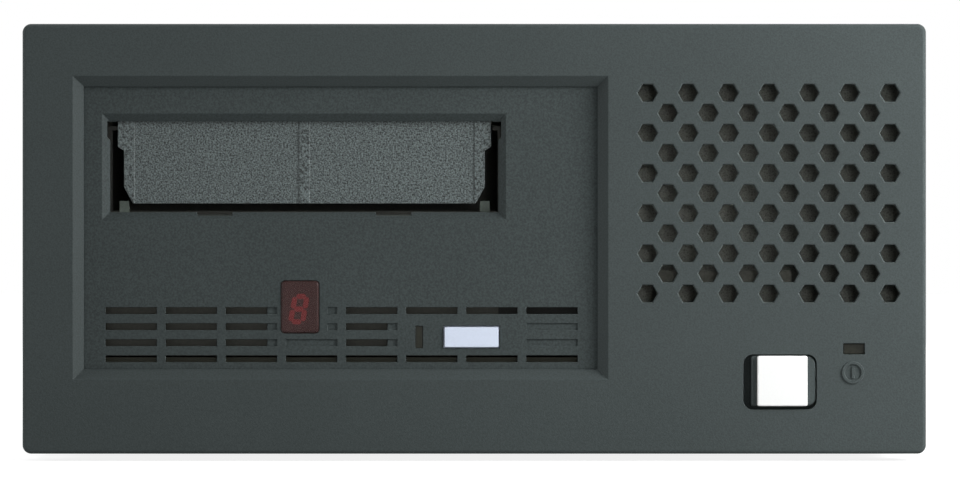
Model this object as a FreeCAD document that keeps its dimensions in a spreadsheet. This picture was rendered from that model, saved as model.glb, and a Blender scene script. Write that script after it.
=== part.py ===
"""Desktop data tape drive: a full-height cartridge drive in a steel case with its own power supply.

The case stands on four rubber feet. Seen from the front, the drive is on the left behind a bevelled
window in the plastic front, and the power supply, fan and power button are on the right.

Frame: X to the right seen from the front, Y towards the back, Z up, in millimetres. The origin is
on the floor, in the middle of the whole object's footprint.
"""

import FreeCAD, Part

import math
import os

import Sketcher

# ---------------------------------------------------------------------------------------------
# Driving dimensions. Each is one cell of the spreadsheet, with its name as the cell's alias.
# ---------------------------------------------------------------------------------------------
DRIVING = (
    ("Case", (
        ("front_width", 248.0, "plastic front, side to side"),
        ("front_height", 118.0, "plastic front, bottom to top"),
        ("foot_gap", 2.0, "the plastic front hangs this far above the floor"),
        ("case_depth", 320.0, "face of the plastic front to the outside of the back wall"),
        ("back_proud", 5.0, "jack posts stand this far behind the back wall"),
        ("sheet", 1.2, "steel sheet of the case"),
        ("cover_inset", 2.0, "the steel cover is this much smaller than the front, all round"),
        ("cover_bend", 2.6, "outside bend radius of the cover"),
        ("slip", 0.2, "clearance between pieces that slide or seat together"),
        ("tray_under", 3.0, "underside of the base tray above the bottom of the front"),
        ("tray_side", 16.0, "height of the base tray's side flanges"),
        ("tray_setback", 9.0, "front edge of the base tray behind the face"),
        ("tray_lip", 7.5, "height of the base tray's front flange"),
        ("cover_screw_up", 9.6, "screws in the cover's sides above the bottom of the base tray"),
        ("cover_screw_in", 24.0, "first and last of those screws, in from the cover's ends"),
        ("air_pitch", 10.0, "air slots high in the back wall, pitch"),
        ("air_long", 6.4, "air slots, length"),
        ("air_tall", 2.2, "air slots, height"),
        ("air_up", 7.0, "air slots, row to row"),
        ("air_down", 10.0, "first row of air slots below the top of the back wall"),
    )),
    ("Plastic front", (
        ("skirt_depth", 22.0, "depth of the front's side walls"),
        ("skirt_wall", 2.5, "thickness of the front's side walls"),
        ("face_wall", 3.6, "thickness of the front's face"),
        ("face_corner", 2.4, "corner radius seen from the front"),
        ("face_edge", 1.1, "rounding of the face's outer edge"),
        ("window_width", 141.2, "drive window at its inner edge"),
        ("window_height", 77.7, "drive window at its inner edge"),
        ("window_bevel", 2.85, "bevel round the drive window"),
        ("vent_flats", 4.7, "hexagonal vent hole across its flats"),
        ("vent_break", 0.25, "broken edge round each vent hole"),
        ("vent_across", 11.08, "vent pitch along a row"),
        ("vent_up", 11.02, "height of two rows of vents"),
        ("vent_centre_right", 80.8, "middle of the vent field, right of the middle"),
        ("vent_centre_up", 71.5, "middle of the vent field above the bottom of the front"),
        ("lamp_width", 5.9, "power lamp window"),
        ("lamp_height", 3.0, "power lamp window"),
        ("lamp_right", 104.2, "power lamp, right of the middle"),
        ("lamp_up", 28.8, "power lamp above the bottom of the front"),
        ("lamp_sunk", 1.0, "the lamp window sits this far back in its hole"),
        ("symbol_radius", 3.05, "raised power symbol, outside"),
        ("symbol_line", 0.8, "line width of the power symbol"),
        ("symbol_bar", 3.1, "length of the bar in the power symbol"),
        ("symbol_proud", 0.5, "height of the power symbol"),
        ("symbol_right", 103.9, "power symbol, right of the middle"),
        ("symbol_up", 22.3, "power symbol above the bottom of the front"),
        ("boss_radius", 3.2, "screw bosses behind the face"),
        ("boss_inset", 12.0, "screw bosses in from the outside of the front"),
        ("boss_up", 7.4, "screw bosses above the bottom of the front"),
    )),
    ("Power button", (
        ("bay_width", 20.1, "opening for the power button"),
        ("bay_height", 15.1, "opening for the power button"),
        ("bay_right", 83.9, "middle of that opening, right of the middle"),
        ("bay_up", 19.7, "middle of that opening above the bottom of the front"),
        ("bay_corner", 2.6, "corner radius of that opening"),
        ("bay_depth", 6.0, "depth of the sleeve round the power button, from the face"),
        ("button_right", 84.5, "power button, right of the middle"),
        ("button_up", 20.0, "power button above the bottom of the front"),
        ("button_size", 13.8, "white key, square"),
        ("button_key", 2.0, "thickness of the white key"),
        ("button_corner", 0.6, "corner radius of the white key"),
        ("button_edge", 0.4, "rounding of the white key's face"),
        ("button_proud", 1.2, "the white key stands this far out of the face"),
        ("button_travel", 2.5, "travel of the power button"),
        ("wing_left", 8.6, "the left wing ends this far from the middle of the white key"),
        ("wing_sunk", 0.3, "the wings stand this far behind the face"),
        ("wing_round", 0.5, "rounded outer edges of the wings"),
        ("wing_flange", 1.2, "flange that keeps the button carrier in its sleeve"),
        ("plunger_width", 4.0, "square plunger behind the button"),
        ("plunger_length", 9.0, "plunger behind the button carrier"),
        ("button_spring_radius", 3.9, "return spring of the power button, wire centre"),
        ("spring_wire", 0.5, "wire of the return springs"),
        ("switch_size", 12.0, "body of the power switch, square"),
        ("switch_depth", 8.0, "depth of the power switch"),
        ("board", 1.6, "thickness of a circuit board"),
        ("bracket_width", 56.0, "bracket behind the power button"),
        ("bracket_height", 46.0, "bracket behind the power button"),
        ("bracket_right", 79.0, "middle of that bracket, right of the middle"),
        ("bracket_plate", 30.0, "height of the bracket's plate, under its legs"),
        ("leg_in", 11.0, "first leg, in from the left end of the bracket"),
        ("leg_pitch", 22.0, "legs, one to the next"),
        ("leg_width", 4.0, "legs between the plate and its shelf"),
        ("bracket_foot", 16.0, "feet of the sheet brackets"),
        ("bracket_gap", 2.0, "gap between that bracket and the board on it"),
        ("shelf_width", 37.0, "flange at the top of that bracket"),
        ("shelf_deep", 4.8, "the shelf runs this far forward of the plate"),
        ("shelf_lip", 3.7, "height of the shelf's front lip"),
        ("filter_left", 42.0, "air filter behind the vents, left edge right of the middle"),
        ("filter_in", 4.8, "air filter, in from the right side of the front"),
        ("filter_thick", 6.0, "foam of the air filter"),
        ("post_thick", 2.5, "radius of the posts under circuit boards"),
        ("board_rise", 3.0, "circuit boards above what they stand over"),
    )),
    ("Drive", (
        ("drive_width", 146.0, "drive over its side walls"),
        ("drive_height", 82.5, "drive, bottom to top"),
        ("drive_length", 205.0, "drive chassis, front to back"),
        ("drive_left", 36.7, "middle of the drive, left of the middle of the case"),
        ("drive_up", 62.0, "middle of the drive above the bottom of the front"),
        ("drive_gap", 0.3, "gap between the drive's plastic face and the front"),
        ("drive_wall", 3.0, "die-cast walls of the drive frame"),
        ("drive_lid", 1.0, "sheet covers of the drive"),
        ("deck_up", 20.0, "top of the deck above the bottom of the drive"),
        ("deck_thick", 3.0, "deck of the drive frame"),
        ("lid_rim", 12.0, "flat rim of the drive's covers"),
        ("lid_corner", 2.0, "corner radius of the drive's covers"),
        ("drive_screw_up", 10.0, "bracket screws above the bottom of the drive"),
        ("drive_screw_front", 45.0, "front bracket screws behind the front of the drive frame"),
        ("drive_screw_back", 160.0, "back bracket screws behind the front of the drive frame"),
        ("bracket_in", 20.0, "brackets, in from the ends of the drive frame"),
        ("bracket_up", 25.0, "brackets above the bottom of the drive"),
        ("chip", 12.0, "chips on the main board"),
        ("chip_tall", 1.1, "height of those chips"),
        ("data_plug_tall", 9.0, "data plug on the main board"),
        ("power_plug_right", 46.0, "power plug, right of the middle of the drive"),
        ("power_plug_wide", 22.0, "power plug on the main board"),
        ("power_plug_tall", 9.0, "power plug on the main board"),
        ("fascia_depth", 8.0, "depth of the drive's plastic face"),
        ("fascia_wall", 2.6, "thickness of the drive's plastic face"),
        ("fascia_skirt", 2.0, "side walls of the drive's plastic face"),
        ("slot_left", 10.1, "middle of the cartridge slot, left of the middle of the drive"),
        ("slot_up", 16.85, "middle of the cartridge slot above the middle of the drive"),
        ("slot_width", 106.8, "cartridge slot"),
        ("slot_height", 25.0, "cartridge slot"),
        ("slot_bevel", 2.1, "bevel round the slot"),
        ("slot_relief", 0.8, "the slot is wider by this on each side near its top"),
        ("slot_relief_height", 4.4, "height of that wider stretch"),
        ("notch_width", 9.6, "two notches in the lower edge of the slot"),
        ("notch_depth", 1.1, "depth of those notches"),
        ("notch_out", 24.6, "notches, out from the middle of the slot"),
    )),
    ("Drive vents and indicators", (
        ("louvre_length", 14.1, "drive vent slot"),
        ("louvre_height", 1.86, "drive vent slot"),
        ("louvre_across", 16.53, "pitch of the drive vents along a row"),
        ("louvre_up", 4.41, "pitch of the rows"),
        ("louvre_short", 11.4, "length of the shortened slots"),
        ("louvre_left", 64.7, "first slot's left end, left of the middle of the drive"),
        ("louvre_down", 22.75, "top row below the middle of the drive"),
        ("blank_depth", 0.5, "depth of the blanked slots"),
        ("display_width", 10.4, "display window"),
        ("display_height", 14.4, "display window"),
        ("display_corner", 1.2, "corner radius of the display window"),
        ("display_left", 11.2, "display window, left of the middle of the drive"),
        ("display_down", 21.75, "display window below the middle of the drive"),
        ("display_proud", 0.5, "the display window stands out of the face"),
        ("status_width", 1.85, "status lamp window"),
        ("status_height", 5.9, "status lamp window"),
        ("status_right", 21.55, "status lamp, right of the middle of the drive"),
        ("status_down", 30.0, "status lamp below the middle of the drive"),
        ("key_width", 14.8, "blue unload key"),
        ("key_height", 5.5, "blue unload key"),
        ("key_right", 35.95, "unload key, right of the middle of the drive"),
        ("key_down", 30.0, "unload key below the middle of the drive"),
        ("key_proud", 0.6, "the unload key stands out of the face"),
        ("key_travel", 0.8, "travel of the unload key"),
        ("key_gap", 0.35, "gap round the unload key"),
        ("key_flange", 1.0, "flange behind the unload key"),
        ("key_switch", 1.2, "height of the switch behind the unload key"),
    )),
    ("Slot door", (
        ("door_half", 51.4, "half the width of the door at its top"),
        ("door_waist", 49.7, "half the width of the door lower down"),
        ("door_foot", 47.2, "half the width of the door at its lower edge"),
        ("door_thick", 1.8, "thickness of the door"),
        ("door_clear", 2.35, "gap under the door"),
        ("door_step_up", 15.6, "where the door narrows, above its lower edge"),
        ("door_cut_up", 4.6, "height of the slanted lower corners"),
        ("door_back", 3.4, "front of the door behind the face of the drive"),
        ("door_panel", 46.8, "half the width of the sunken middle of the door"),
        ("door_relief", 0.3, "depth of that sunken panel"),
        ("door_rib", 2.9, "width of the raised rib in the middle"),
        ("door_hinge_up", 2.4, "hinge above the top of the slot"),
        ("door_pin", 1.0, "radius of the door's hinge pins"),
        ("door_barrel", 1.5, "radius of the door's hinge barrel"),
        ("ear_gap", 0.5, "gap between door and hinge ears"),
        ("ear_wide", 2.5, "hinge ears"),
        ("spring_room", 3.6, "room for the door's spring outside its ear"),
        ("pin_clear", 0.05, "running clearance of pins, on radius"),
        ("tab_width", 2.7, "cartridge feeler tabs"),
        ("tab_up", 4.6, "height of the feeler tabs above their shaft"),
        ("tab_out", 49.7, "feeler tabs, out from the middle of the slot"),
        ("feeler_shaft", 0.9, "radius of the feeler's shaft"),
        ("feeler_down", 1.5, "feeler's shaft below the bottom of the slot"),
        ("feeler_back", 6.6, "feeler's shaft behind the face of the drive"),
    )),
    ("Cartridge loader", (
        ("bay_inside", 106.4, "cartridge tray, inside width"),
        ("bay_long", 85.0, "cartridge tray, inside length"),
        ("bay_wall", 1.5, "walls of the cartridge tray"),
        ("bay_floor", 1.2, "floor of the cartridge tray"),
        ("bay_tall", 22.2, "height inside the tray, under its lips"),
        ("bay_lip", 1.4, "width of the lips over the cartridge"),
        ("bay_rise", 0.45, "tray floor above the bottom of the slot"),
        ("bay_front", 4.0, "front of the tray behind the front of the drive frame"),
        ("draw_in", 18.0, "travel of the tray into the drive"),
        ("drop", 7.0, "travel of the tray down onto the reel clutch"),
        ("cam_travel", 12.0, "travel of the cam plates"),
        ("rail_thick", 2.0, "side rails of the lift frame"),
        ("rail_up", 1.8, "bottom of the rails above the tray's floor"),
        ("rail_tall", 16.4, "height of the lift frame rails"),
        ("rail_long", 112.0, "length of the lift frame rails"),
        ("key_groove", 1.2, "depth of the grooves that the tray runs in"),
        ("bridge_wide", 16.0, "bridge of the lift frame, front to back"),
        ("pin_radius", 1.8, "lift pins in the cam slots"),
        ("pin_up", 13.2, "lift pins above the tray's floor"),
        ("pin_front", 20.0, "front lift pins behind the front of the drive frame"),
        ("pin_back", 88.0, "back lift pins behind the front of the drive frame"),
        ("cam_thick", 1.5, "cam plates"),
        ("cam_gap", 0.6, "gap between rail and cam plate"),
        ("cam_clear", 0.15, "clearance of pins in slots"),
        ("stud_up", 8.0, "fixed guide studs above the bottom of the cam plates"),
        ("cam_up", 3.2, "bottom of the cam plates above the deck"),
        ("cam_step", 20.8, "top of the cam plates' low back end above the deck"),
        ("cam_top", 48.0, "top of the cam plates above the deck"),
        ("shaft_back", 116.0, "cam shaft behind the front of the drive frame"),
        ("shaft_up", 9.2, "cam shaft above the deck"),
        ("shaft_thick", 2.0, "radius of the cam shaft"),
        ("rack_module", 0.8, "module of the rack and its pinions"),
        ("train_module", 0.6, "module of the motor gears"),
        ("gear_wide", 3.0, "face width of the gears"),
        ("backlash", 0.16, "play between gear teeth"),
    )),
    ("Tape path", (
        ("path_up", 22.8, "lower edge of the tape path above the deck"),
        ("path_tall", 13.2, "height between flanges in the tape path"),
        ("flange", 1.0, "flanges of reel and rollers"),
        ("reel_radius", 36.0, "take-up reel"),
        ("reel_hub", 22.0, "hub of the take-up reel"),
        ("reel_right", 30.0, "take-up reel, right of the middle of the drive"),
        ("reel_back", 164.0, "take-up reel behind the front of the drive frame"),
        ("clutch_back", 58.0, "reel clutch behind the front of the drive frame"),
        ("clutch_radius", 14.0, "reel clutch under the cartridge"),
        ("clutch_gap", 1.1, "top of the clutch under the tray's floor"),
        ("motor_radius", 20.0, "reel motors"),
        ("motor_tall", 10.0, "height of the reel motors"),
        ("spindle", 3.0, "radius of the reel motors' spindles"),
        ("small_motor", 8.0, "radius of the loader and threader motors"),
        ("roller_radius", 6.0, "guide rollers"),
        ("roller_rim", 7.2, "guide roller flanges"),
        ("post_radius", 1.5, "posts of the guide rollers"),
        ("post_ring", 31.2, "guide rollers from the threader's pivot"),
        ("pivot_left", 22.0, "threader pivot, left of the middle of the drive"),
        ("pivot_back", 146.0, "threader pivot behind the front of the drive frame"),
        ("pivot_radius", 2.5, "post of the threader's pivot"),
        ("arm_reach", 42.0, "threader arm, pivot to finger"),
        ("arm_up", 41.2, "underside of the threader arm above the deck"),
        ("arm_wide", 6.0, "width of the threader arm"),
        ("head_left", 35.0, "head carriage, left of the middle of the drive"),
        ("head_travel", 2.0, "travel of the head each way"),
        ("head_half", 12.0, "head's base, half its length"),
        ("cup_radius", 7.0, "magnet cup of the head"),
        ("cup_tall", 14.4, "magnet cup of the head"),
        ("neck_half", 3.6, "neck of the head carriage, half its width"),
    )),
    ("Power supply, fan and back panel", (
        ("supply_right", 80.0, "power supply, right of the middle"),
        ("supply_width", 72.0, "power supply chassis"),
        ("supply_length", 130.0, "power supply chassis"),
        ("supply_height", 40.0, "power supply chassis"),
        ("supply_sheet", 1.6, "aluminium of the power supply channel"),
        ("standoff", 5.0, "height of the posts under the supply board"),
        ("can_radius", 8.0, "capacitors on the supply board"),
        ("can_tall", 24.0, "capacitors on the supply board"),
        ("can_left", 14.0, "first capacitor, in from the left edge of the supply board"),
        ("can_pitch", 20.0, "capacitors, one to the next"),
        ("can_back", 96.0, "capacitors behind the front edge of the supply board"),
        ("sink_left", 50.0, "heat sink, in from the left edge of the supply board"),
        ("sink_front", 34.0, "heat sink behind the front edge of the supply board"),
        ("sink_width", 12.0, "fins of the heat sink"),
        ("sink_tall", 22.0, "fins of the heat sink"),
        ("fin_pitch", 5.0, "fins of the heat sink, one to the next"),
        ("sink_plate", 3.0, "plate that the fins stand on"),
        ("lead_block", 14.0, "terminal blocks on the supply board"),
        ("lead_radius", 1.0, "internal leads"),
        ("lead_pitch", 2.15, "internal leads side by side, middle to middle"),
        ("lead_bend", 8.0, "bend radius of the internal leads and the ribbon"),
        ("lead_run", 12.0, "straight stretch at the ends of the mains leads"),
        ("lead_loop", 22.0, "how far leads and ribbon run on before they turn"),
        ("supply_back", 105.0, "front of the power supply behind the face"),
        ("fan_size", 60.0, "fan frame, square"),
        ("fan_depth", 25.0, "fan frame"),
        ("fan_duct", 28.6, "radius of the fan's duct"),
        ("fan_pitch", 50.0, "fan screws, centre to centre"),
        ("fan_hub", 13.0, "radius of the fan's hub"),
        ("fan_tip", 0.9, "gap at the blade tips"),
        ("fan_axle", 1.5, "radius of the fan's axle"),
        ("hub_plate", 3.0, "thickness of the fan's hub plate"),
        ("blade_thick", 1.2, "fan blades"),
        ("blade_root", 1.0, "the blades begin this far inside the hub"),
        ("strut", 3.0, "width of the fan's struts"),
        ("fan_right", 83.0, "fan, right of the middle"),
        ("fan_up", 76.0, "fan above the floor"),
        ("guard_wire", 1.6, "wire of the fan guard"),
        ("inlet_right", 83.0, "mains inlet, right of the middle"),
        ("inlet_up", 26.0, "mains inlet above the floor"),
        ("inlet_width", 24.6, "mains inlet socket, inside"),
        ("inlet_height", 17.0, "mains inlet socket, inside"),
        ("inlet_wall", 1.5, "wall of the mains inlet"),
        ("inlet_deep", 17.0, "depth of the mains inlet socket"),
        ("inlet_flange", 2.0, "flange of the mains inlet"),
        ("inlet_screws", 40.0, "mains inlet screws, centre to centre"),
        ("inlet_pin", 2.0, "thickness of the mains pins, half their width"),
        ("pin_out", 7.0, "outer mains pins, out from the middle"),
        ("pin_down", 2.0, "outer mains pins below the middle"),
        ("pin_tab", 8.0, "solder tabs of the mains pins"),
        ("pin_back_set", 3.0, "tips of the mains pins inside the socket"),
        ("port_left", 66.0, "data connectors, left of the middle"),
        ("port_low", 40.0, "lower data connector above the floor"),
        ("port_pitch", 26.0, "data connectors, centre to centre"),
        ("port_width", 42.0, "data connector shell"),
        ("port_height", 7.6, "data connector shell"),
        ("port_screws", 57.0, "jack posts, centre to centre"),
        ("port_proud", 3.5, "data connector shells stand this far out"),
        ("port_deep", 10.0, "data connectors behind their flange"),
        ("flange_thick", 2.0, "flange of the data connectors"),
        ("shell_wall", 1.0, "wall of the data connector shells"),
        ("jack_flats", 4.7, "jack posts across their flats"),
        ("jack_bore", 1.25, "radius of the threaded bore in the jack posts"),
        ("jack_thread", 4.0, "depth of that bore"),
        ("ribbon", 1.0, "thickness of the ribbon cable"),
        ("ribbon_plug", 8.0, "plugs of the ribbon cable, front to back"),
        ("selector_left", 8.0, "address selector, left of the middle"),
        ("selector_up", 53.0, "address selector above the floor"),
        ("selector_width", 11.0, "address selector"),
        ("selector_height", 27.0, "address selector"),
        ("dial_radius", 8.0, "number wheel of the address selector"),
        ("dial_width", 4.6, "width of the number wheel"),
        ("dial_axle", 1.0, "radius of the number wheel's axle"),
        ("dial_pin", 1.5, "how far that axle reaches into the housing"),
        ("selector_proud", 0.6, "the selector stands this far out"),
        ("selector_wall", 1.0, "front wall of the selector"),
        ("key_out", 9.6, "keys above and below the middle of the selector"),
        ("selector_key", 4.4, "keys of the address selector, square"),
        ("selector_travel", 1.2, "travel of those keys"),
        ("foot_radius", 8.0, "rubber feet"),
        ("foot_taper", 1.2, "the feet narrow by this towards the floor"),
        ("foot_sink", 2.2, "depth of the sunk hole in each foot"),
        ("foot_in_side", 22.0, "feet, in from the sides of the front"),
        ("foot_in_front", 76.0, "front feet behind the face"),
        ("foot_in_back", 30.0, "back feet in front of the back wall"),
        ("screw_radius", 1.45, "shank of the case screws"),
        ("screw_long", 6.0, "length of the screws under the head"),
        ("head_radius", 2.9, "head of the case screws"),
        ("head_high", 1.7, "height of the screw heads"),
    )),
)

VENT_COLUMNS = 7
VENT_ROWS = 6
RACK_TEETH = 10
PINION_TEETH = 18
WHEEL_TEETH = 44
FAN_BLADES = 7
FAN_STRUTS = 3
BLADE_PITCH = 42.0
GUARD_RINGS = (0.3, 0.53, 0.76, 1.0)
SINK_FINS = 7
SUPPLY_CANS = 3
AIR_ROWS = 2
AIR_COLUMNS = 8
DIAL_FACES = 16
CLUTCH_TEETH = 12
BUTTON_SPRING_TURNS = 5
DOOR_SPRING_TURNS = 4
ARCS_PER_TURN = 4
PRESSURE_ANGLE = math.radians(20)
GEAR_ROOT = 1.25
GEAR_TIP = 0.9
ROLLER_SWINGS = (-52.0, -21.6, 21.6, 52.0)
ARM_START = 234.0
THREADER_MOTOR_AT = -60.0

doc = FreeCAD.newDocument("tape_drive")
sheet = doc.addObject("Spreadsheet::Sheet", "sizes")
nodes = []


class Size:
    """A length with its value now and the spreadsheet formula that it comes from."""

    def __init__(self, value, formula):
        self.value = value
        self.formula = formula

    def __add__(self, other):
        return combine(self, "+", other)

    def __radd__(self, other):
        return combine(other, "+", self)

    def __sub__(self, other):
        return combine(self, "-", other)

    def __rsub__(self, other):
        return combine(other, "-", self)

    def __mul__(self, other):
        return combine(self, "*", other)

    def __rmul__(self, other):
        return combine(other, "*", self)

    def __truediv__(self, other):
        return combine(self, "/", other)

    def __neg__(self):
        return combine(0, "-", self)

    def __float__(self):
        return float(self.value)


def combine(left, sign, right):
    """One arithmetic step, in the value and in the formula alike."""
    a, b = number(left), number(right)
    value = {"+": a + b, "-": a - b, "*": a * b}[sign] if sign != "/" else a / b
    return Size(value, f"({formula(left)} {sign} {formula(right)})")


def number(size):
    """The value of a Size or of a plain number."""
    return size.value if isinstance(size, Size) else float(size)


def formula(size):
    """The formula of a Size or of a plain number."""
    return size.formula if isinstance(size, Size) else f"({size:.9f})"


class Sizes:
    """The driving dimensions by name, read back from the sheet's cells."""

    def __init__(self):
        row = 1
        for heading, cells in DRIVING:
            sheet.set(f"A{row}", heading)
            row += 1
            for name, value, note in cells:
                sheet.set(f"A{row}", note)
                sheet.set(f"B{row}", str(value))
                sheet.setAlias(f"B{row}", name)
                row += 1
        doc.recompute()
        for _, cells in DRIVING:
            for name, _, _ in cells:
                setattr(self, name, Size(float(sheet.get(name)), f"sizes.{name}"))


s = Sizes()


# ---------------------------------------------------------------------------------------------
# Part primitives bound to the sheet
# ---------------------------------------------------------------------------------------------
TURN = {
    "X": FreeCAD.Rotation(FreeCAD.Vector(0, 1, 0), 90),
    "Y": FreeCAD.Rotation(FreeCAD.Vector(1, 0, 0), -90),
    "Z": FreeCAD.Rotation(),
}


def bind(target, prop, size):
    """Drives a property from the sheet."""
    target.setExpression(prop, formula(size))


def place(target, at, turn=None):
    """Puts an object at a point whose coordinates are sizes."""
    if turn is not None:
        target.Placement = FreeCAD.Placement(FreeCAD.Vector(), turn)
    for axis, size in zip("xyz", at):
        bind(target, f"Placement.Base.{axis}", size)
    return target


def block(low, high):
    """A box between two corners."""
    made = doc.addObject("Part::Box", "block")
    for prop, a, b in zip(("Length", "Width", "Height"), low, high):
        bind(made, prop, b - a)
    return place(made, low)


def cone(axis, start, first, last, length):
    """A cone that runs from start along +axis."""
    made = doc.addObject("Part::Cone", "cone")
    bind(made, "Radius1", first)
    bind(made, "Radius2", last)
    bind(made, "Height", length)
    return place(made, start, TURN[axis])


def prism(axis, start, flats, length):
    """A hexagonal bar that runs from start along +axis."""
    made = doc.addObject("Part::Prism", "prism")
    made.Polygon = 6
    bind(made, "Circumradius", flats / math.sqrt(3))
    bind(made, "Height", length)
    return place(made, start, TURN[axis])


def rod(axis, start, radius, length):
    """A cylinder that runs from start along +axis."""
    made = doc.addObject("Part::Cylinder", "rod")
    bind(made, "Radius", radius)
    bind(made, "Height", length)
    return place(made, start, TURN[axis])


def ring(axis, centre, radius, wire):
    """A torus about an axis."""
    made = doc.addObject("Part::Torus", "ring")
    bind(made, "Radius1", radius)
    bind(made, "Radius2", wire)
    return place(made, centre, TURN[axis])


def fuse(*pieces):
    """One solid out of pieces that touch."""
    made = doc.addObject("Part::MultiFuse", "fusion")
    made.Shapes = list(pieces)
    return made


def cut(base, *tools):
    """The base with the tools cut away."""
    made = doc.addObject("Part::Cut", "cut")
    made.Base = base
    made.Tool = tools[0] if len(tools) == 1 else fuse(*tools)
    return made


def group(*pieces):
    """Separate solids that share one node."""
    made = doc.addObject("Part::Compound", "group")
    made.Links = list(pieces)
    return made


def node(label, made):
    """Names a finished sub-part; its file takes the same name."""
    target = made.body if isinstance(made, Moulding) else made
    target.Label = label
    nodes.append(target)
    return target


# ---------------------------------------------------------------------------------------------
# PartDesign bodies bound to the sheet
# ---------------------------------------------------------------------------------------------
class Drawing:
    """A sketch whose corners are driven by the sheet. Its coordinates are the body's own."""

    def __init__(self, body, plane, at):
        self.sketch = body.newObject("Sketcher::SketchObject", "sketch")
        support = [f for f in body.Origin.OriginFeatures if f.Role == f"{plane}_Plane"]
        self.sketch.AttachmentSupport = [(support[0], "")]
        self.sketch.MapMode = "FlatFace"
        self.normal = -1 if plane == "XZ" else 1
        bind(self.sketch, "AttachmentOffset.Base.z", at * self.normal)

    def _fix(self, geometry, end, x, y):
        """Ties one point to the origin."""
        for kind, axis, size in (("DistanceX", -2, x), ("DistanceY", -1, y)):
            if isinstance(size, Size):
                index = self.sketch.addConstraint(
                    Sketcher.Constraint(kind, -1, 1, geometry, end, number(size))
                )
                self.sketch.setExpression(f"Constraints[{index}]", formula(size))
            elif abs(size) < 1e-9:
                self.sketch.addConstraint(Sketcher.Constraint("PointOnObject", geometry, end, axis))
            else:
                self.sketch.addConstraint(Sketcher.Constraint(kind, -1, 1, geometry, end, size))

    def _radius(self, geometry, radius):
        index = self.sketch.addConstraint(Sketcher.Constraint("Radius", geometry, number(radius)))
        if isinstance(radius, Size):
            self.sketch.setExpression(f"Constraints[{index}]", formula(radius))

    def circle(self, x, y, radius):
        """A full circle."""
        centre = FreeCAD.Vector(number(x), number(y), 0)
        made = self.sketch.addGeometry(Part.Circle(centre, FreeCAD.Vector(0, 0, 1), number(radius)))
        self._fix(made, 3, x, y)
        self._radius(made, radius)
        return self

    def polygon(self, corners):
        """A closed outline. A corner is (x, y), or (x, y, radius) to round it."""
        points = [(number(c[0]), number(c[1])) for c in corners]
        count = len(corners)
        rounding = [c[2] if len(c) > 2 else None for c in corners]
        ends = [_trim(points, i, rounding[i]) for i in range(count)]
        first = self.sketch.GeometryCount
        lines = []
        for i in range(count):
            a, b = ends[i][1], ends[(i + 1) % count][0]
            lines.append(Part.LineSegment(FreeCAD.Vector(*a, 0), FreeCAD.Vector(*b, 0)))
        self.sketch.addGeometry(lines)
        for i in range(count):
            before, after = first + (i - 1) % count, first + i
            if rounding[i] is None:
                self.sketch.addConstraint(Sketcher.Constraint("Coincident", before, 2, after, 1))
                self._fix(after, 1, corners[i][0], corners[i][1])
            else:
                self._round(before, after, corners[i], points[i], ends[i])
        return self

    def _round(self, before, after, corner, point, ends):
        """An arc between two lines, held by the corner that it rounds off."""
        start, stop, centre = ends
        from_angle = math.atan2(start[1] - centre[1], start[0] - centre[0])
        to_angle = math.atan2(stop[1] - centre[1], stop[0] - centre[0])
        turn = (to_angle - from_angle) % (2 * math.pi)
        head, tail = (1, 2) if turn < math.pi else (2, 1)
        if turn >= math.pi:
            from_angle, to_angle = to_angle, from_angle
        circle = Part.Circle(
            FreeCAD.Vector(*centre, 0), FreeCAD.Vector(0, 0, 1), number(corner[2])
        )
        arc = self.sketch.addGeometry(Part.ArcOfCircle(circle, from_angle, to_angle))
        mark = self.sketch.addGeometry(Part.Point(FreeCAD.Vector(*point, 0)), True)
        self.sketch.addConstraint([
            Sketcher.Constraint("Tangent", before, 2, arc, head),
            Sketcher.Constraint("Tangent", arc, tail, after, 1),
            Sketcher.Constraint("PointOnObject", mark, 1, before),
            Sketcher.Constraint("PointOnObject", mark, 1, after),
        ])
        self._fix(mark, 1, corner[0], corner[1])
        self._radius(arc, corner[2])

    def rectangle(self, left, low, right, high, corner=None):
        """An upright rectangle, with its corners rounded if corner is given."""
        ends = [(left, low), (right, low), (right, high), (left, high)]
        return self.polygon([e if corner is None else (*e, corner) for e in ends])

    def centred(self, x, y, width, height, corner=None):
        """A rectangle about its middle."""
        return self.rectangle(x - width / 2, y - height / 2, x + width / 2, y + height / 2, corner)


def _trim(points, i, radius):
    """Where the lines beside a corner end, and the centre of the arc between them."""
    here = points[i]
    if radius is None:
        return here, here, None
    ways = []
    for other in (points[i - 1], points[(i + 1) % len(points)]):
        gap = math.hypot(other[0] - here[0], other[1] - here[1])
        ways.append(((other[0] - here[0]) / gap, (other[1] - here[1]) / gap))
    half = math.acos(ways[0][0] * ways[1][0] + ways[0][1] * ways[1][1]) / 2
    reach = number(radius) / math.tan(half)
    middle = (ways[0][0] + ways[1][0], ways[0][1] + ways[1][1])
    away = number(radius) / math.sin(half) / math.hypot(*middle)
    ends = [(here[0] + w[0] * reach, here[1] + w[1] * reach) for w in ways]
    return ends[0], ends[1], (here[0] + middle[0] * away, here[1] + middle[1] * away)


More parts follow.
